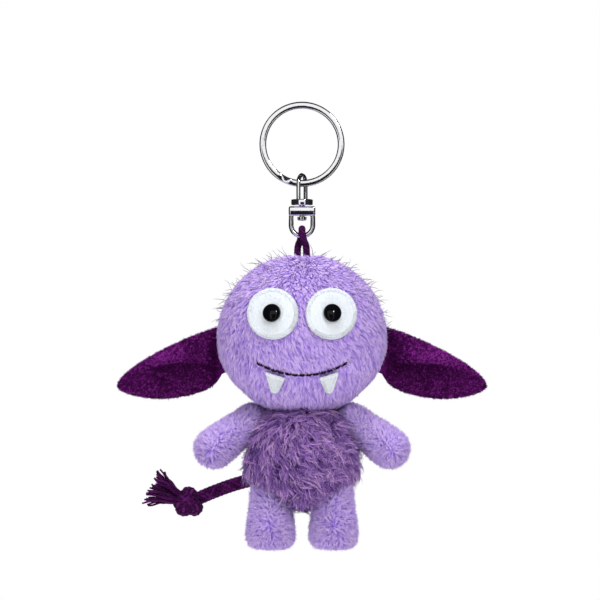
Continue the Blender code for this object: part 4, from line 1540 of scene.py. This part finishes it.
    def _stitched(self, outline: Array, inset: float) -> Shape:
        """A satin-stitched border: threads side by side from inside a patch's edge, over it and down."""
        rng = np.random.default_rng(33)
        closed = np.vstack([outline, outline[:1]])
        gone = distances(closed)
        count = round(gone[-1] / self.border_pitch)
        middle = outline.mean(0)
        top = self.fit + self.felt
        made = []
        for k in range(count):
            at = k / count * gone[-1]
            edge = np.array([np.interp(at, gone, closed[:, axis]) for axis in (0, 1)])
            inward = unit(middle - edge)
            reach = inset * rng.uniform(0.9, 1.08)
            steps = np.array([reach, reach * 0.8, reach * 0.4, 0.0, -0.00020, -0.00022])
            heights = top + np.array([-0.00016, 0.00010, 0.00015, 0.00004, -0.00035, -0.0009])
            flat = edge + inward * steps[:, None] + rng.normal(0, 0.00004, 2)
            line = HEAD_FORM.over_front(flat[:, 0], flat[:, 1], heights)
            made.append(tube(line, self.border_thread, 5, rng.uniform(0.3, 0.9)))
        return sum(made)

    def _fuzz(self, patch: bpy.types.Object, material: bpy.types.Material, name: str) -> bpy.types.Object:
        """Loose fibres that stand off a felt piece."""
        groom = Groom(
            strands=round(700 * max(patch.dimensions) / 0.0165), length=0.0008, radius=0.000035,
            lift=(25, 10), points=3, per_lock=1, stray=0.6, wander=180, seed=31,
        )
        fibres = groom.grown(Ground(patch), np.ones_like, lambda p: np.ones(len(p)))
        return fibres.piece(name, material)

    def _bead(self, sign: int) -> Shape:
        """A domed bead on its shank."""
        seat = self.felt + 2 * self.fit
        half, rim = self.bead / 2, self.bead_height * 0.25
        turn = np.linspace(0, math.pi / 2, 14)[:-1]
        dome = [(half * math.cos(t), seat + rim + (self.bead_height - rim) * math.sin(t)) for t in turn]
        foot = [(half - 0.0003, seat), (half - 0.0001, seat + 0.0001), (half, seat + 0.0003)]
        shank = self.shank / 2
        profile = [(shank, -self.shank_depth), (shank, seat), *foot, *dome, (0.0001, seat + self.bead_height)]
        shape = lathe(profile, 48)
        x, z = (np.array(v) for v in self.eye_middle(sign))
        out = HEAD_FORM.front_normal(x, z)
        turned = np.array(Vector(out).to_track_quat("Z", "Y").to_matrix())
        shape.points = shape.points @ turned.T + HEAD_FORM.front(x, z)
        return shape

    def _mouth(self) -> Shape:
        """Long dark stitches along the mouth, each twisted from two plies."""
        made = []
        for k in range(self.stitches):
            at = (k + np.linspace(0.04, 0.96, 12)) / self.stitches - 0.5
            x = at * self.mouth_width
            arch = np.sin(np.linspace(0, math.pi, 12)) ** 0.6
            line = HEAD_FORM.over_front(x, self.mouth_level(x), self.thread * (arch - 0.7) * 0.6 - 0.0006)
            side, other, _ = path_frames(line)
            for ply in (0, math.pi):
                turn = np.linspace(0, 2.2 * math.pi, 12)[:, None] + ply
                apart = self.thread * 0.22 * (np.cos(turn) * side + np.sin(turn) * other)
                made.append(tube(line + apart, self.thread * 0.30 * (0.35 + 0.65 * arch), 7, 0.3))
        return sum(made)


@dataclass
class Head:
    """The plush head: a filled skin, its pile and a few long hairs on the crown."""

    ear_level: float
    depth: float = 0.0008
    jowl: tuple[float, float, float] = (0, -0.0010, -0.0010)
    jowl_level: float = -0.094
    chin_pile: float = -0.097
    chin_longer: float = 0.4
    ear_half: float = 0.006
    ear_seam: float = 0.0012
    ear_beyond: float = 0.024
    cuts: int = 22
    face: Face = field(default_factory=Face)
    stuffing: Stuffing = field(default_factory=Stuffing)
    groom: Groom = field(default_factory=lambda: Groom(
        strands=76000, length=0.0024, radius=0.00014, lift=(36, 10), points=3, per_lock=6,
        gather=0.45, stray=0.07, wander=18, mottle=(0.26, 0.15), seed=11,
    ))
    hairs: Groom = field(default_factory=lambda: Groom(
        strands=900, length=0.0038, radius=0.00013, lift=(66, 40), points=6, per_lock=1,
        stray=0.24, uneven=0.4, wander=60, curl=0.0004, waves=0.8, seed=12,
    ))

    def seam_gap(self, points: Array) -> Array:
        """Each point's distance from the nearest seam: mouth, chin, crown and sides."""
        x, y, z = points.T
        ends = 0.024  # the mouth's seam runs on this far to either side
        level = self.face.mouth_level(np.clip(x, -ends, ends))
        mouth = np.abs(z - level) + np.maximum(y, 0) + np.maximum(np.abs(x) - ends, 0)
        chin = np.abs(x) + np.maximum(z - self.face.mouth_level(x), 0) + np.maximum(y, 0)
        crown = np.abs(x) + np.maximum(HEAD_FORM.level + 0.019 - z, 0)
        return np.minimum.reduce([mouth, chin, crown, np.abs(y)])

    def comb(self, places: Array) -> Array:
        """Brushed down and out from the crown, slanting over the snout, and down the chin."""
        x, y, z = places.T
        high = rise(z - HEAD_FORM.level, 0.02)
        front = rise(-y, 0.02)
        slant = 0.55 * front * (1 - high) * (z > self.face.mouth_level(x))
        out = slant + x / HEAD_FORM.half_width * (0.3 + 0.9 * high)
        return np.stack([out, 0.35 * (1 - front) + 0 * x, -1 + 0.1 * high], -1)

    def keep(self, places: Array) -> Array:
        """The share of its length that pile keeps."""
        x, y, z = places.T
        ear = np.hypot(y, np.maximum(np.abs(z - self.ear_level) - self.ear_half, 0)) - self.ear_seam
        keep = np.where(np.abs(x) > self.ear_beyond, rise(ear, 0.004, 0.35), 1)
        loop = np.hypot(np.maximum(np.abs(x) - HangLoop.spread / 2, 0), y) - HangLoop.cord / 2
        keep = np.where(z > HEAD_FORM.level, np.minimum(keep, rise(loop, 0.003)), keep)
        chin = rise(self.chin_pile - z, 0.003) * rise(-y, 0.008, 0.5)
        return np.minimum(keep, self.face.clear(places)) * (1 + self.chin_longer * chin)

    def build(self) -> None:
        """Makes the skin, fills it, and grows its pile."""
        backing = LILAC_CLOTH.material("head_backing")
        skin = HEAD_FORM.shrunk(self.depth).ball(self.cuts).piece("head_cloth", backing, 180)
        points = coordinates(skin.data)
        gap = self.seam_gap(points)
        drawn = points - vertex_normals(skin.data) * (0.0009 * np.exp(-((gap / 0.0018) ** 2)))[:, None]
        chin = rise(self.jowl_level - points[:, 2], 0.008) ** 2 * rise(-points[:, 1], 0.008, 0.5)
        drawn += np.array(self.jowl) * chin[:, None]
        move_points(skin.data, drawn)
        self.stuffing.fill(skin, gap)
        refined(skin)
        settled(skin, "head", "lilac_plush", "head_skin", "head_filling")
        ground = Ground(skin)
        lilac = LILAC_PILE.material("head_pile")
        for name, lot in self.groom.grown(ground, self.comb, self.keep).quarters("head_pile"):
            settled(lot.piece(name, lilac), "head", "lilac_plush")

        def crown(places: Array) -> Array:
            """Hairs over the crown, and fewer towards the face."""
            high = places[:, 2] - HEAD_FORM.level - 0.006 * np.sin(places[:, 0] * 900 + places[:, 1] * 700)
            return self.keep(places) * (high > 0.004 + np.maximum(-places[:, 1] - 0.006, 0))

        hairs = self.hairs.grown(ground, lambda p: np.stack([p[:, 0], p[:, 1], 0 * p[:, 0]], -1), crown)
        settled(hairs.piece("crown_hairs", HAIR_PILE.material("crown_hair")), "head", "lilac_plush")
        self.face.build()


@dataclass
class Ear:
    """A leaf of velour whose upper edge folds forwards over its hollow, with a short nap."""

    side: str
    sign: int
    hinge: tuple[float, float, float]
    length: float = 0.0354
    root_width: float = 0.0158
    belly: float = 0.0043
    taper: float = 1.5
    thickness: float = 0.0024
    fold: float = 0.0044
    fold_reach: float = 0.66
    fold_ends: tuple[float, float] = (-0.35, 0.62)
    hollow: float = 0.0018
    droop: float = math.radians(19)
    sag: float = math.radians(3)
    sewn_in: float = 0.0036
    across: int = 57

    def edge(self, u: Array, v: Array) -> Array:
        """How far across the ear places lie, at shares of its length and of its upper or lower half."""
        taper = self.root_width / 2 * np.sqrt(np.clip(1 - np.maximum(u, 0) ** self.taper, 0, 1))
        return (taper + self.belly * np.sin(math.pi * np.clip(u, 0, 1)) * (v < 0)) * v

    def crease(self, u: Array) -> Array:
        """How far across the ear its fold ends: low by the head, then ever nearer the upper edge."""
        low, high = self.fold_ends
        return low + (high - low) * rise(u, self.fold_reach)

    def forward(self, u: Array, w: Array) -> Array:
        """How far the ear comes forwards, at shares of the way from the fold's end to either edge."""
        grown = self.fold * np.sin(math.pi * rise(u, self.fold_reach)) ** 0.75
        hollow = self.hollow * np.sin(math.pi / 2 * rise(u, 0.3)) * egg_share(np.clip(u, 0, 1), 1.4)
        flap = np.where(w < 0, np.clip(1 + w, 0, 1) ** 14, np.clip(1 - w, 0, 1) ** 0.8)
        return grown * flap - hollow * np.sin(math.pi * np.clip(-w, 0, 1) ** 0.8)

    def shade(self, places: Array) -> Array:
        """How much lighter the nap is: a painted highlight along the fold's end, a painted shadow deep under
        it, painted light towards the tip and painted shade by the head.
        """
        out = np.abs(places[:, 0]) - abs(self.hinge[0])
        u = np.clip(out / (self.length * math.cos(self.droop)), 0, 0.99)
        high = places[:, 2] - self.hinge[2] + np.maximum(out, 0) * math.tan(self.droop + self.sag / 2)
        v = high / np.where(high < 0, -self.edge(u, np.array(-1.0)), self.edge(u, np.array(1.0)))
        over = v - self.crease(u)
        # Painted highlight on the fold's upper face, and painted shadow in the hollow under the fold.
        painted_highlight = np.exp(-((over - 0.22) / 0.42) ** 2 - ((u - 0.52) / 0.24) ** 2) * (over > -0.06)
        shadow = np.exp(-((over + 0.30) / 0.38) ** 2 - ((u - 0.38) / 0.32) ** 2) * (over < 0.04)
        front = (0.48 * painted_highlight - 0.42 * shadow) * (places[:, 1] < 0.001)
        # Lighter towards the tip and darker by the head: painted light and painted shade.
        return front + 0.14 * np.clip(u - 0.6, 0, 1) - 0.3 * (1 - u) ** 6

    def rows(self) -> Array:
        """Rings of points round the ear, from inside the head's pile to its tip, facing outwards."""
        tip = 1 - 0.1 * (1 - np.linspace(0, 1, 14)[1:-1]) ** 2
        sewn = np.linspace(-self.sewn_in / self.length, 0, 5)[:-1]
        u = np.concatenate([sewn, np.linspace(0, 0.9, 46), tip])
        bend = self.droop + self.sag * np.maximum(u, 0)
        step = np.diff(u, prepend=u[0]) * self.length
        step[0] = -self.sewn_in
        place = np.stack([np.cumsum(np.cos(bend) * step), 0 * u, -np.cumsum(np.sin(bend) * step)], -1)
        lean = bend * rise(u, 0.6)
        up = np.stack([np.sin(lean), 0 * u, np.cos(lean)], -1)
        w = np.linspace(-1, 1, self.across)
        u_each, w_each = np.meshgrid(u, np.sign(w) * np.abs(w) ** 1.6, indexing="ij")
        crease = self.crease(u_each)
        v_each = crease + w_each * np.where(w_each < 0, 1 + crease, 1 - crease)
        middle = place[:, None] + up[:, None] * self.edge(u_each, v_each)[..., None]
        middle[..., 1] -= self.forward(u_each, w_each)
        level = self.hinge[2]
        drawn_in = HEAD_FORM.half_at(level + middle[..., 2]) - HEAD_FORM.half_at(np.array(level))
        middle[..., 0] += drawn_in * smooth(rise(-u, 0.55, 1))[:, None]
        middle[..., 0] *= self.sign
        pad = self.thickness / 2 * (0.35 + 0.65 * egg_share(np.clip(u_each, 0, 1), 6)) * egg_share(v_each, 3)
        shift = np.stack([0 * pad, pad, 0 * pad], -1)
        rings = np.concatenate([middle - shift, (middle + shift)[:, ::-1][:, 1:-1]], 1) + self.hinge
        return rings[:, :: -self.sign]

    def build(self) -> None:
        """Makes the ear and its nap."""
        body = f"ear_{self.side}"
        velour = PLUM_VELOUR.material(f"velour_{self.side}")
        ear = loft(self.rows()).piece(f"ear_velour_{self.side}", velour, 70)
        settled(ear, body, "plum_velour", body)
        groom = Groom(
            strands=24000, length=0.00055, radius=0.00012, lift=(60, 60), points=2, per_lock=6,
            gather=0.3, stray=0.3, wander=60, mottle=(0.34, 0.2), patch=0.006, seed=41,
        )
        # The nap's tone carries the painted highlight along the fold and the painted shadow under it.
        nap = groom.grown(
            Ground(ear),
            lambda p: np.broadcast_to(np.array([self.sign, 0.0, -0.5]), p.shape),
            lambda p: rise(np.abs(p[:, 0]) - abs(self.hinge[0]) + 0.002, 0.001),
            self.shade,
        )
        settled(nap.piece(f"ear_nap_{self.side}", NAP_PILE.material(f"nap_{self.side}")), body, "plum_velour")


class Sweep:
    """The room that a limb needs over its swing, as a convex hull of its CAD node's places."""

    def __init__(self, node: bpy.types.Object, joint: dict, grow: float = 0.0005) -> None:
        """Turns the node's points through the joint's range and wraps them.

        Args:
            node: The limb's CAD node.
            joint: The record's joint.
            grow: How much clearer the room is all round.
        """
        points = coordinates(node.data)
        pivot = Vector(joint["pos_m"])
        shape = bmesh.new()
        for angle in np.radians(np.linspace(*joint["range_deg"], 7)):
            turned = np.array(Matrix.Rotation(angle, 3, Vector(joint["axis"])))
            for place in (points - pivot) @ turned.T + pivot:
                shape.verts.new(place)
        bmesh.ops.convex_hull(shape, input=shape.verts)
        bmesh.ops.delete(shape, geom=[v for v in shape.verts if not v.link_faces], context="VERTS")
        bmesh.ops.recalc_face_normals(shape, faces=shape.faces)
        for vert in shape.verts:
            vert.co += vert.normal * grow
        shape.normal_update()
        self.normals = np.array([f.normal for f in shape.faces])
        self.offsets = np.array([f.normal.dot(f.verts[0].co) for f in shape.faces])
        self.mesh = bpy.data.meshes.new("sweep")
        shape.to_mesh(self.mesh)
        shape.free()

    def gap(self, places: Array) -> Array:
        """How far places lie outside the room, less than 0 inside it."""
        return (places @ self.normals.T - self.offsets).max(1)

    def cutter(self) -> bpy.types.Object:
        """The room as a solid."""
        return placed("sweep", self.mesh)


@dataclass
class Torso:
    """The shaggy body: a filled skin hollowed for the chin and the limbs, and long wavy pile."""

    sweeps: list[Sweep]
    depth: float = 0.0033
    rim: tuple[float, float] = (0.0003, 0.0045)
    rim_from: float = 0.011
    cuts: int = 16
    stuffing: Stuffing = field(default_factory=lambda: Stuffing(most=0.0008))
    groom: Groom = field(default_factory=lambda: Groom(
        strands=26000, length=0.0072, radius=0.00013, lift=(46, 2), points=6, per_lock=7, uneven=0.35,
        gather=0.60, stray=0.06, wander=40, mottle=(0.26, 0.16), curl=0.00055, waves=1.2,
        patch=0.009, seed=51,
    ))
    ruff: Groom = field(default_factory=lambda: Groom(
        strands=16000, length=0.0058, radius=0.00013, lift=(84, 58), points=6, per_lock=6, uneven=0.4,
        gather=0.5, stray=0.12, wander=60, mottle=(0.24, 0.16), curl=0.0007, waves=1.2, patch=0.009, seed=52,
    ))

    @staticmethod
    def _past_dish(places: Array) -> Array:
        """How far places lie outside the dish for the chin."""
        return np.linalg.norm(places - NECK_CENTRE, axis=1) - NECK_DISH

    def _room(self, places: Array) -> tuple[Array, Array]:
        """How far places lie outside the limbs' sweeps, and outside the dish."""
        return np.min([sweep.gap(places) for sweep in self.sweeps], axis=0), self._past_dish(places)

    def comb(self, places: Array) -> Array:
        """Brushed down to the right over the belly, down elsewhere, and up by the neck's sides and back."""
        x, y, z = places.T
        neck = self._past_dish(places)
        side = rise(np.abs(x) - 0.008, 0.006) * (y < 0) + (y > 0)
        down = 1 - 2 * side * (1 - rise(neck, 0.004))
        belly = np.exp(-((x / 0.014) ** 2) - (((z - BODY_FORM.level) / 0.010) ** 2)) * (y < 0)
        out = 0.9 * belly + 0.7 * x / BODY_FORM.half_width
        return np.stack([out, 0.5 * y / BODY_FORM.half_depth, -down * (1 - 0.3 * belly)], -1)

    def keep(self, places: Array) -> Array:
        """The share of its length that pile keeps."""
        gap, dish = self._room(places)
        tail = np.linalg.norm(places - Tail.root, axis=1) - Tail.cord / 2 - 0.002
        by_limb = rise(gap, 0.010, 0.5) * (gap > 0)
        by_neck = rise(dish, 0.010, 0.7) * (dish > -0.0004)
        return np.minimum(by_limb, by_neck) * rise(tail, 0.003)

    def collar(self, places: Array) -> Array:
        """Where pile stands up round the neck, and the share of its length that it keeps there."""
        gap, dish = self._room(places)
        x, y, z = places.T
        low, high = self.rim
        beside = (np.abs(x) > self.rim_from) | (y > 0)
        rim = (dish > low) & (dish < high) & (z > BODY_FORM.level) & (gap > 0) & beside
        return rim * rise(dish, 0.006, 0.6)

    def build(self) -> None:
        """Makes the skin, fills and hollows it, and grows its pile."""
        backing = MAUVE_CLOTH.material("torso_backing")
        skin = BODY_FORM.shrunk(self.depth).ball(self.cuts).piece("torso_cloth", backing, 180)
        x, y, _ = coordinates(skin.data).T
        self.stuffing.fill(skin, np.minimum(np.abs(y), np.abs(x) + np.maximum(-y, 0)))
        refined(skin)
        points = coordinates(skin.data)
        away = points - NECK_CENTRE
        far = np.linalg.norm(away, axis=1, keepdims=True)
        points = np.where(far < NECK_DISH, NECK_CENTRE + away / far * NECK_DISH, points)
        move_points(skin.data, points)
        skin.data.update()
        pile = self.groom.grown(Ground(skin), self.comb, self.keep)
        ruff = self.ruff.grown(Ground(skin), self.comb, self.collar)
        for sweep in self.sweeps:
            combined(skin, sweep.cutter(), "DIFFERENCE")
        settled(skin, "torso", "mauve_shag", "body_skin", "body_filling")
        mauve = MAUVE_PILE.material("torso_pile")
        for name, lot in pile.quarters("torso_pile"):
            settled(lot.piece(name, mauve), "torso", "mauve_shag")
        settled(ruff.piece("torso_ruff", mauve), "torso", "mauve_shag")


class LimbKind(Enum):
    """The creature's limbs."""

    ARM = "arm"
    LEG = "leg"


@dataclass
class Limb:
    """A plush arm or leg: a filled skin from a ball in its socket to a rounded end, and its pile."""

    kind: LimbKind
    side: str
    joint: tuple[float, float, float]
    way: tuple[float, float, float]
    root_radius: float
    tip_radius: float
    length: float
    corner: float
    depth: float = 0.0019
    bare_within: float = 0.80
    sides: int = 28
    stuffing: Stuffing = field(default_factory=lambda: Stuffing(most=0.0006, held_within=0.0006))
    groom: Groom = field(default_factory=lambda: Groom(
        strands=19000, length=0.0023, radius=0.00014, lift=(62, 30), points=3, per_lock=5,
        gather=0.45, stray=0.09, wander=45, mottle=(0.25, 0.15), seed=61,
    ))

    def rows(self) -> Array:
        """The skin's rings along +Z from the joint."""
        ball, end = self.root_radius - self.depth, self.tip_radius - self.depth
        straight = self.length - self.corner
        turn = np.linspace(0.12, math.pi / 2, 7)[:-1]
        rings = [(ball * math.sin(t), -ball * math.cos(t)) for t in turn]
        for share in np.linspace(0, 1, 10):
            rings.append((ball + (end - ball) * smooth(share), straight * share))
        flat, corner = self.tip_radius - self.corner, self.corner - self.depth
        for t in np.linspace(0, math.pi / 2, 8)[1:]:
            rings.append((flat + corner * math.cos(t), straight + corner * math.sin(t)))
        inwards, crown = 0.0012, 0.00003  # how far each ring over the end lies in from the last, and over it
        while rings[-1][0] > inwards:
            rings.append((rings[-1][0] - inwards, rings[-1][1] + crown))
        smallest = 0.0004
        return rings_about_z([(max(radius, smallest), height) for radius, height in rings], self.sides)

    def build(self) -> None:
        """Makes the skin, fills it, and grows its pile."""
        name = f"{self.kind.value}_{{}}_{self.side}"
        body = f"{self.kind.value}_{self.side}"
        shape = loft(self.rows())
        gap = np.abs(shape.points[:, 1])
        turned = np.array(Vector(self.way).to_track_quat("Z", "Y").to_matrix())
        shape.points = shape.points @ turned.T + self.joint
        skin = shape.piece(name.format("cloth"), LILAC_CLOTH.material(name.format("backing")), 180)
        self.stuffing.fill(skin, gap)
        refined(skin)
        settled(skin, body, "lilac_plush", name.format("skin"), name.format("filling"))
        way, joint = np.array(self.way), np.array(self.joint)
        crown = joint + way * self.length * (0.62 if self.kind is LimbKind.LEG else 0.8)

        def comb(places: Array) -> Array:
            """Brushed out from one place on the limb's front, low down, as a star."""
            out = places - crown + (0, self.tip_radius, 0)
            return unit(out) + 0.5 * way

        def keep(places: Array) -> Array:
            """The share of its length that pile keeps: none deep inside the body."""
            return rise(BODY_FORM.share(places) - self.bare_within, 0.07)

        pile = self.groom.grown(Ground(skin), comb, keep)
        lilac = LILAC_PILE.material(name.format("pile"))
        settled(pile.piece(name.format("pile"), lilac), body, "lilac_plush")


# The studio


@dataclass
class Studio:
    """White surroundings, soft lamps, cards that the metal mirrors, and the camera."""

    view_width: float = 0.21
    view_middle: tuple[float, float] = (-0.0007, -0.0670)
    distance: float = 1.2
    sensor: float = 36.0
    floor_level: float = -0.19
    floor_reach: float = 0.19
    ambient: float = 0.51
    tint: Colour = (0.96, 0.98, 1.06)
    catchlight: float = 70.0
    lamps: tuple[tuple[str, tuple[float, float, float], float, float], ...] = (
        ("key", (0.42, -0.72, 0.42), 0.22, 2.5),
        ("fill", (-0.65, -0.70, -0.12), 0.22, 1.2),
        ("low", (0.05, -0.55, -0.75), 0.45, 4.2),
        ("top", (-0.05, -0.24, 0.80), 0.60, 6.2),
        ("rear_left", (-0.55, 0.70, 0.20), 0.50, 2.6),
        ("rear_right", (0.55, 0.70, 0.20), 0.50, 2.6),
    )

    def build(self) -> None:
        """Makes the camera, the lamps, the floor and the world."""
        scene = bpy.context.scene
        scene.view_settings.view_transform = "Standard"
        self._camera(scene)
        middle = Vector((0, 0, -0.08))
        for name, place, size, power in self.lamps:
            light = bpy.data.lights.new(name, "AREA")
            light.shape, light.size, light.energy, light.color = "SQUARE", size, power, self.tint
            lamp = placed(name, light)
            lamp.location = place
            lamp.rotation_euler = (middle - Vector(place)).to_track_quat("-Z", "Y").to_euler()
            lamp.visible_camera = lamp.visible_glossy = False
        self._floor()
        self._cards()
        self._world(scene)

    def _camera(self, scene: bpy.types.Scene) -> None:
        """Level with the object, far off with a long lens."""
        data = bpy.data.cameras.new("camera")
        data.sensor_width = self.sensor
        data.lens = self.sensor * self.distance / self.view_width
        data.clip_start, data.clip_end = 0.01, 20.0
        camera = placed("camera", data)
        camera.location = (self.view_middle[0], -self.distance, self.view_middle[1])
        camera.rotation_euler = (math.pi / 2, 0, 0)
        scene.camera = camera

    def _floor(self) -> None:
        """A pale round floor that fades out to the white round it."""
        turn = circle(64)
        radii = np.linspace(0.02, self.floor_reach, 12)[:, None]
        size = (len(radii), len(turn))
        rows = np.stack([radii * np.cos(turn), radii * np.sin(turn), np.full(size, self.floor_level)], -1)
        index = np.arange(len(radii) * len(turn)).reshape(size)
        quads = np.stack([index[:-1], np.roll(index[:-1], -1, 1), np.roll(index[1:], -1, 1), index[1:]], -1)
        paint = Paint("floor_white")
        x, y, _ = paint.parts(paint.place())
        reach = paint.node("ShaderNodeMath", {"operation": "SQRT"}, {0: x * x + y * y})
        pale = paint.noise(30, 2).between((0.88, 0.88, 0.88), (0.91, 0.91, 0.91))
        material = paint.done({
            "Base Color": pale, "Roughness": 0.9, "Specular IOR Level": 0.1,
            "Alpha": 1 - reach.steps(self.floor_reach * 0.25, self.floor_reach * 0.95),
        })
        shape = Shape(rows.reshape(-1, 3), [quads.reshape(-1, 4), index[0][None, ::-1]])
        floor = shape.piece("floor", material)
        floor.visible_glossy = False

    def _cards(self) -> None:
        """Dark cards and one bright one round the object, for glossy pieces alone to mirror."""
        black = Paint("card_black").done({"Base Color": (0.01, 0.01, 0.012), "Roughness": 0.9})
        glow = {"Base Color": 0.0, "Emission Color": 1.0, "Emission Strength": self.catchlight}
        bright = Paint("card_bright").done(glow)
        for name, material, corner, across, up in (
            ("card_back_left", black, (-1.5, 0.6, -1.6), (1.15, 0, 0), (0, 0, 3.0)),
            ("card_back_right", black, (0.35, 0.6, -1.6), (1.15, 0, 0), (0, 0, 3.0)),
            ("card_back_over", black, (-0.35, 0.6, 0.35), (0.7, 0, 0), (0, 0, 1.05)),
            ("card_back_under", black, (-0.35, 0.6, -1.6), (0.7, 0, 0), (0, 0, 1.2)),
            ("card_left", black, (-0.6, -0.90, -1.6), (0, 1.5, 0), (0, 0, 3.0)),
            ("card_right", black, (0.6, -0.90, -1.6), (0, 1.5, 0), (0, 0, 3.0)),
            ("card_front", black, (-0.42, -1.3, -1.6), (1.0, 0, 0), (0, 0, 1.620)),
            ("card_top", black, (-0.6, -1.00, 0.6), (1.2, 0, 0), (0, 1.6, 0)),
            ("card_under", black, (-0.6, -0.50, -0.8), (1.2, 0, 0), (0, 1.1, 0)),
            ("card_catch", bright, (0.37, -0.75, 0.24), (0.07, 0.05, 0), (0, 0.08, 0.18)),
        ):
            start, across, up = (np.array(side, float) for side in (corner, across, up))
            corners = np.stack([start, start + across, start + across + up, start + up])
            card = Shape(corners, [np.array([[0, 1, 2, 3]])]).piece(name, material)
            card.visible_camera = card.visible_diffuse = card.visible_shadow = False
            card.visible_transmission = card.visible_volume_scatter = False

    def _world(self, scene: bpy.types.Scene) -> None:
        """White to the camera and in reflections, softer as light."""
        world = bpy.data.worlds.new("surroundings")
        world.use_nodes = True
        scene.world = world
        nodes = Nodes(world.node_tree)
        path = nodes.node("ShaderNodeLightPath", output="Is Camera Ray")
        outputs = path.socket.node.outputs
        seen = path + Wire(nodes, outputs["Is Glossy Ray"]) + Wire(nodes, outputs["Is Transmission Ray"])
        strength = seen.steps(0.0, 1.0) * (1 - self.ambient) + self.ambient
        shader = nodes.node("ShaderNodeBackground", {}, {"Color": 1.0, "Strength": strength})
        nodes.node("ShaderNodeOutputWorld", {}, {"Surface": shader})


def limbs(places: dict[str, tuple[float, float, float]]) -> Iterator[Limb]:
    """Both arms and both legs, as the frame's joints place them.

    Args:
        places: Each body's joint.

    Yields:
        The limbs.
    """
    arm_turn = math.radians(37)
    for sign, side in SIDES:
        yield Limb(
            LimbKind.ARM, side, places[f"arm_{side}"], (sign * math.cos(arm_turn), 0, -math.sin(arm_turn)),
            root_radius=0.0064, tip_radius=0.0076, length=0.0241, corner=0.0076,
        )
        yield Limb(
            LimbKind.LEG, side, places[f"leg_{side}"], (0, 0, -1),
            root_radius=0.0076, tip_radius=0.0091, length=0.0197, corner=0.0045,
        )


def main() -> None:
    """Builds the studio and each sub-assembly in order."""
    logging.basicConfig(level=logging.INFO, format="%(message)s")
    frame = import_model()
    Studio().build()
    Tail().build()
    HangLoop().build()
    KeyRing().build()
    Swivel().build()
    joints = {joint["child"]: joint for joint in frame["joints"]}
    places = {child: tuple(joint["pos_m"]) for child, joint in joints.items()}
    Head(places["ear_left"][2]).build()
    for sign, side in SIDES:
        Ear(side, sign, places[f"ear_{side}"]).build()
        washer = frame["nodes"][f"eye_washer_{side}"]
        washer.data.materials.clear()
        washer.data.materials.append(CLEAR_PLASTIC.material(f"washer_{side}"))
    sweeps = [
        Sweep(frame["nodes"][f"{kind.value}_skin_{side}"], joints[f"{kind.value}_{side}"])
        for kind in LimbKind for side in ("left", "right")
    ]
    Torso(sweeps).build()
    for limb in limbs(places):
        limb.build()


if __name__ == "__main__":
    main()
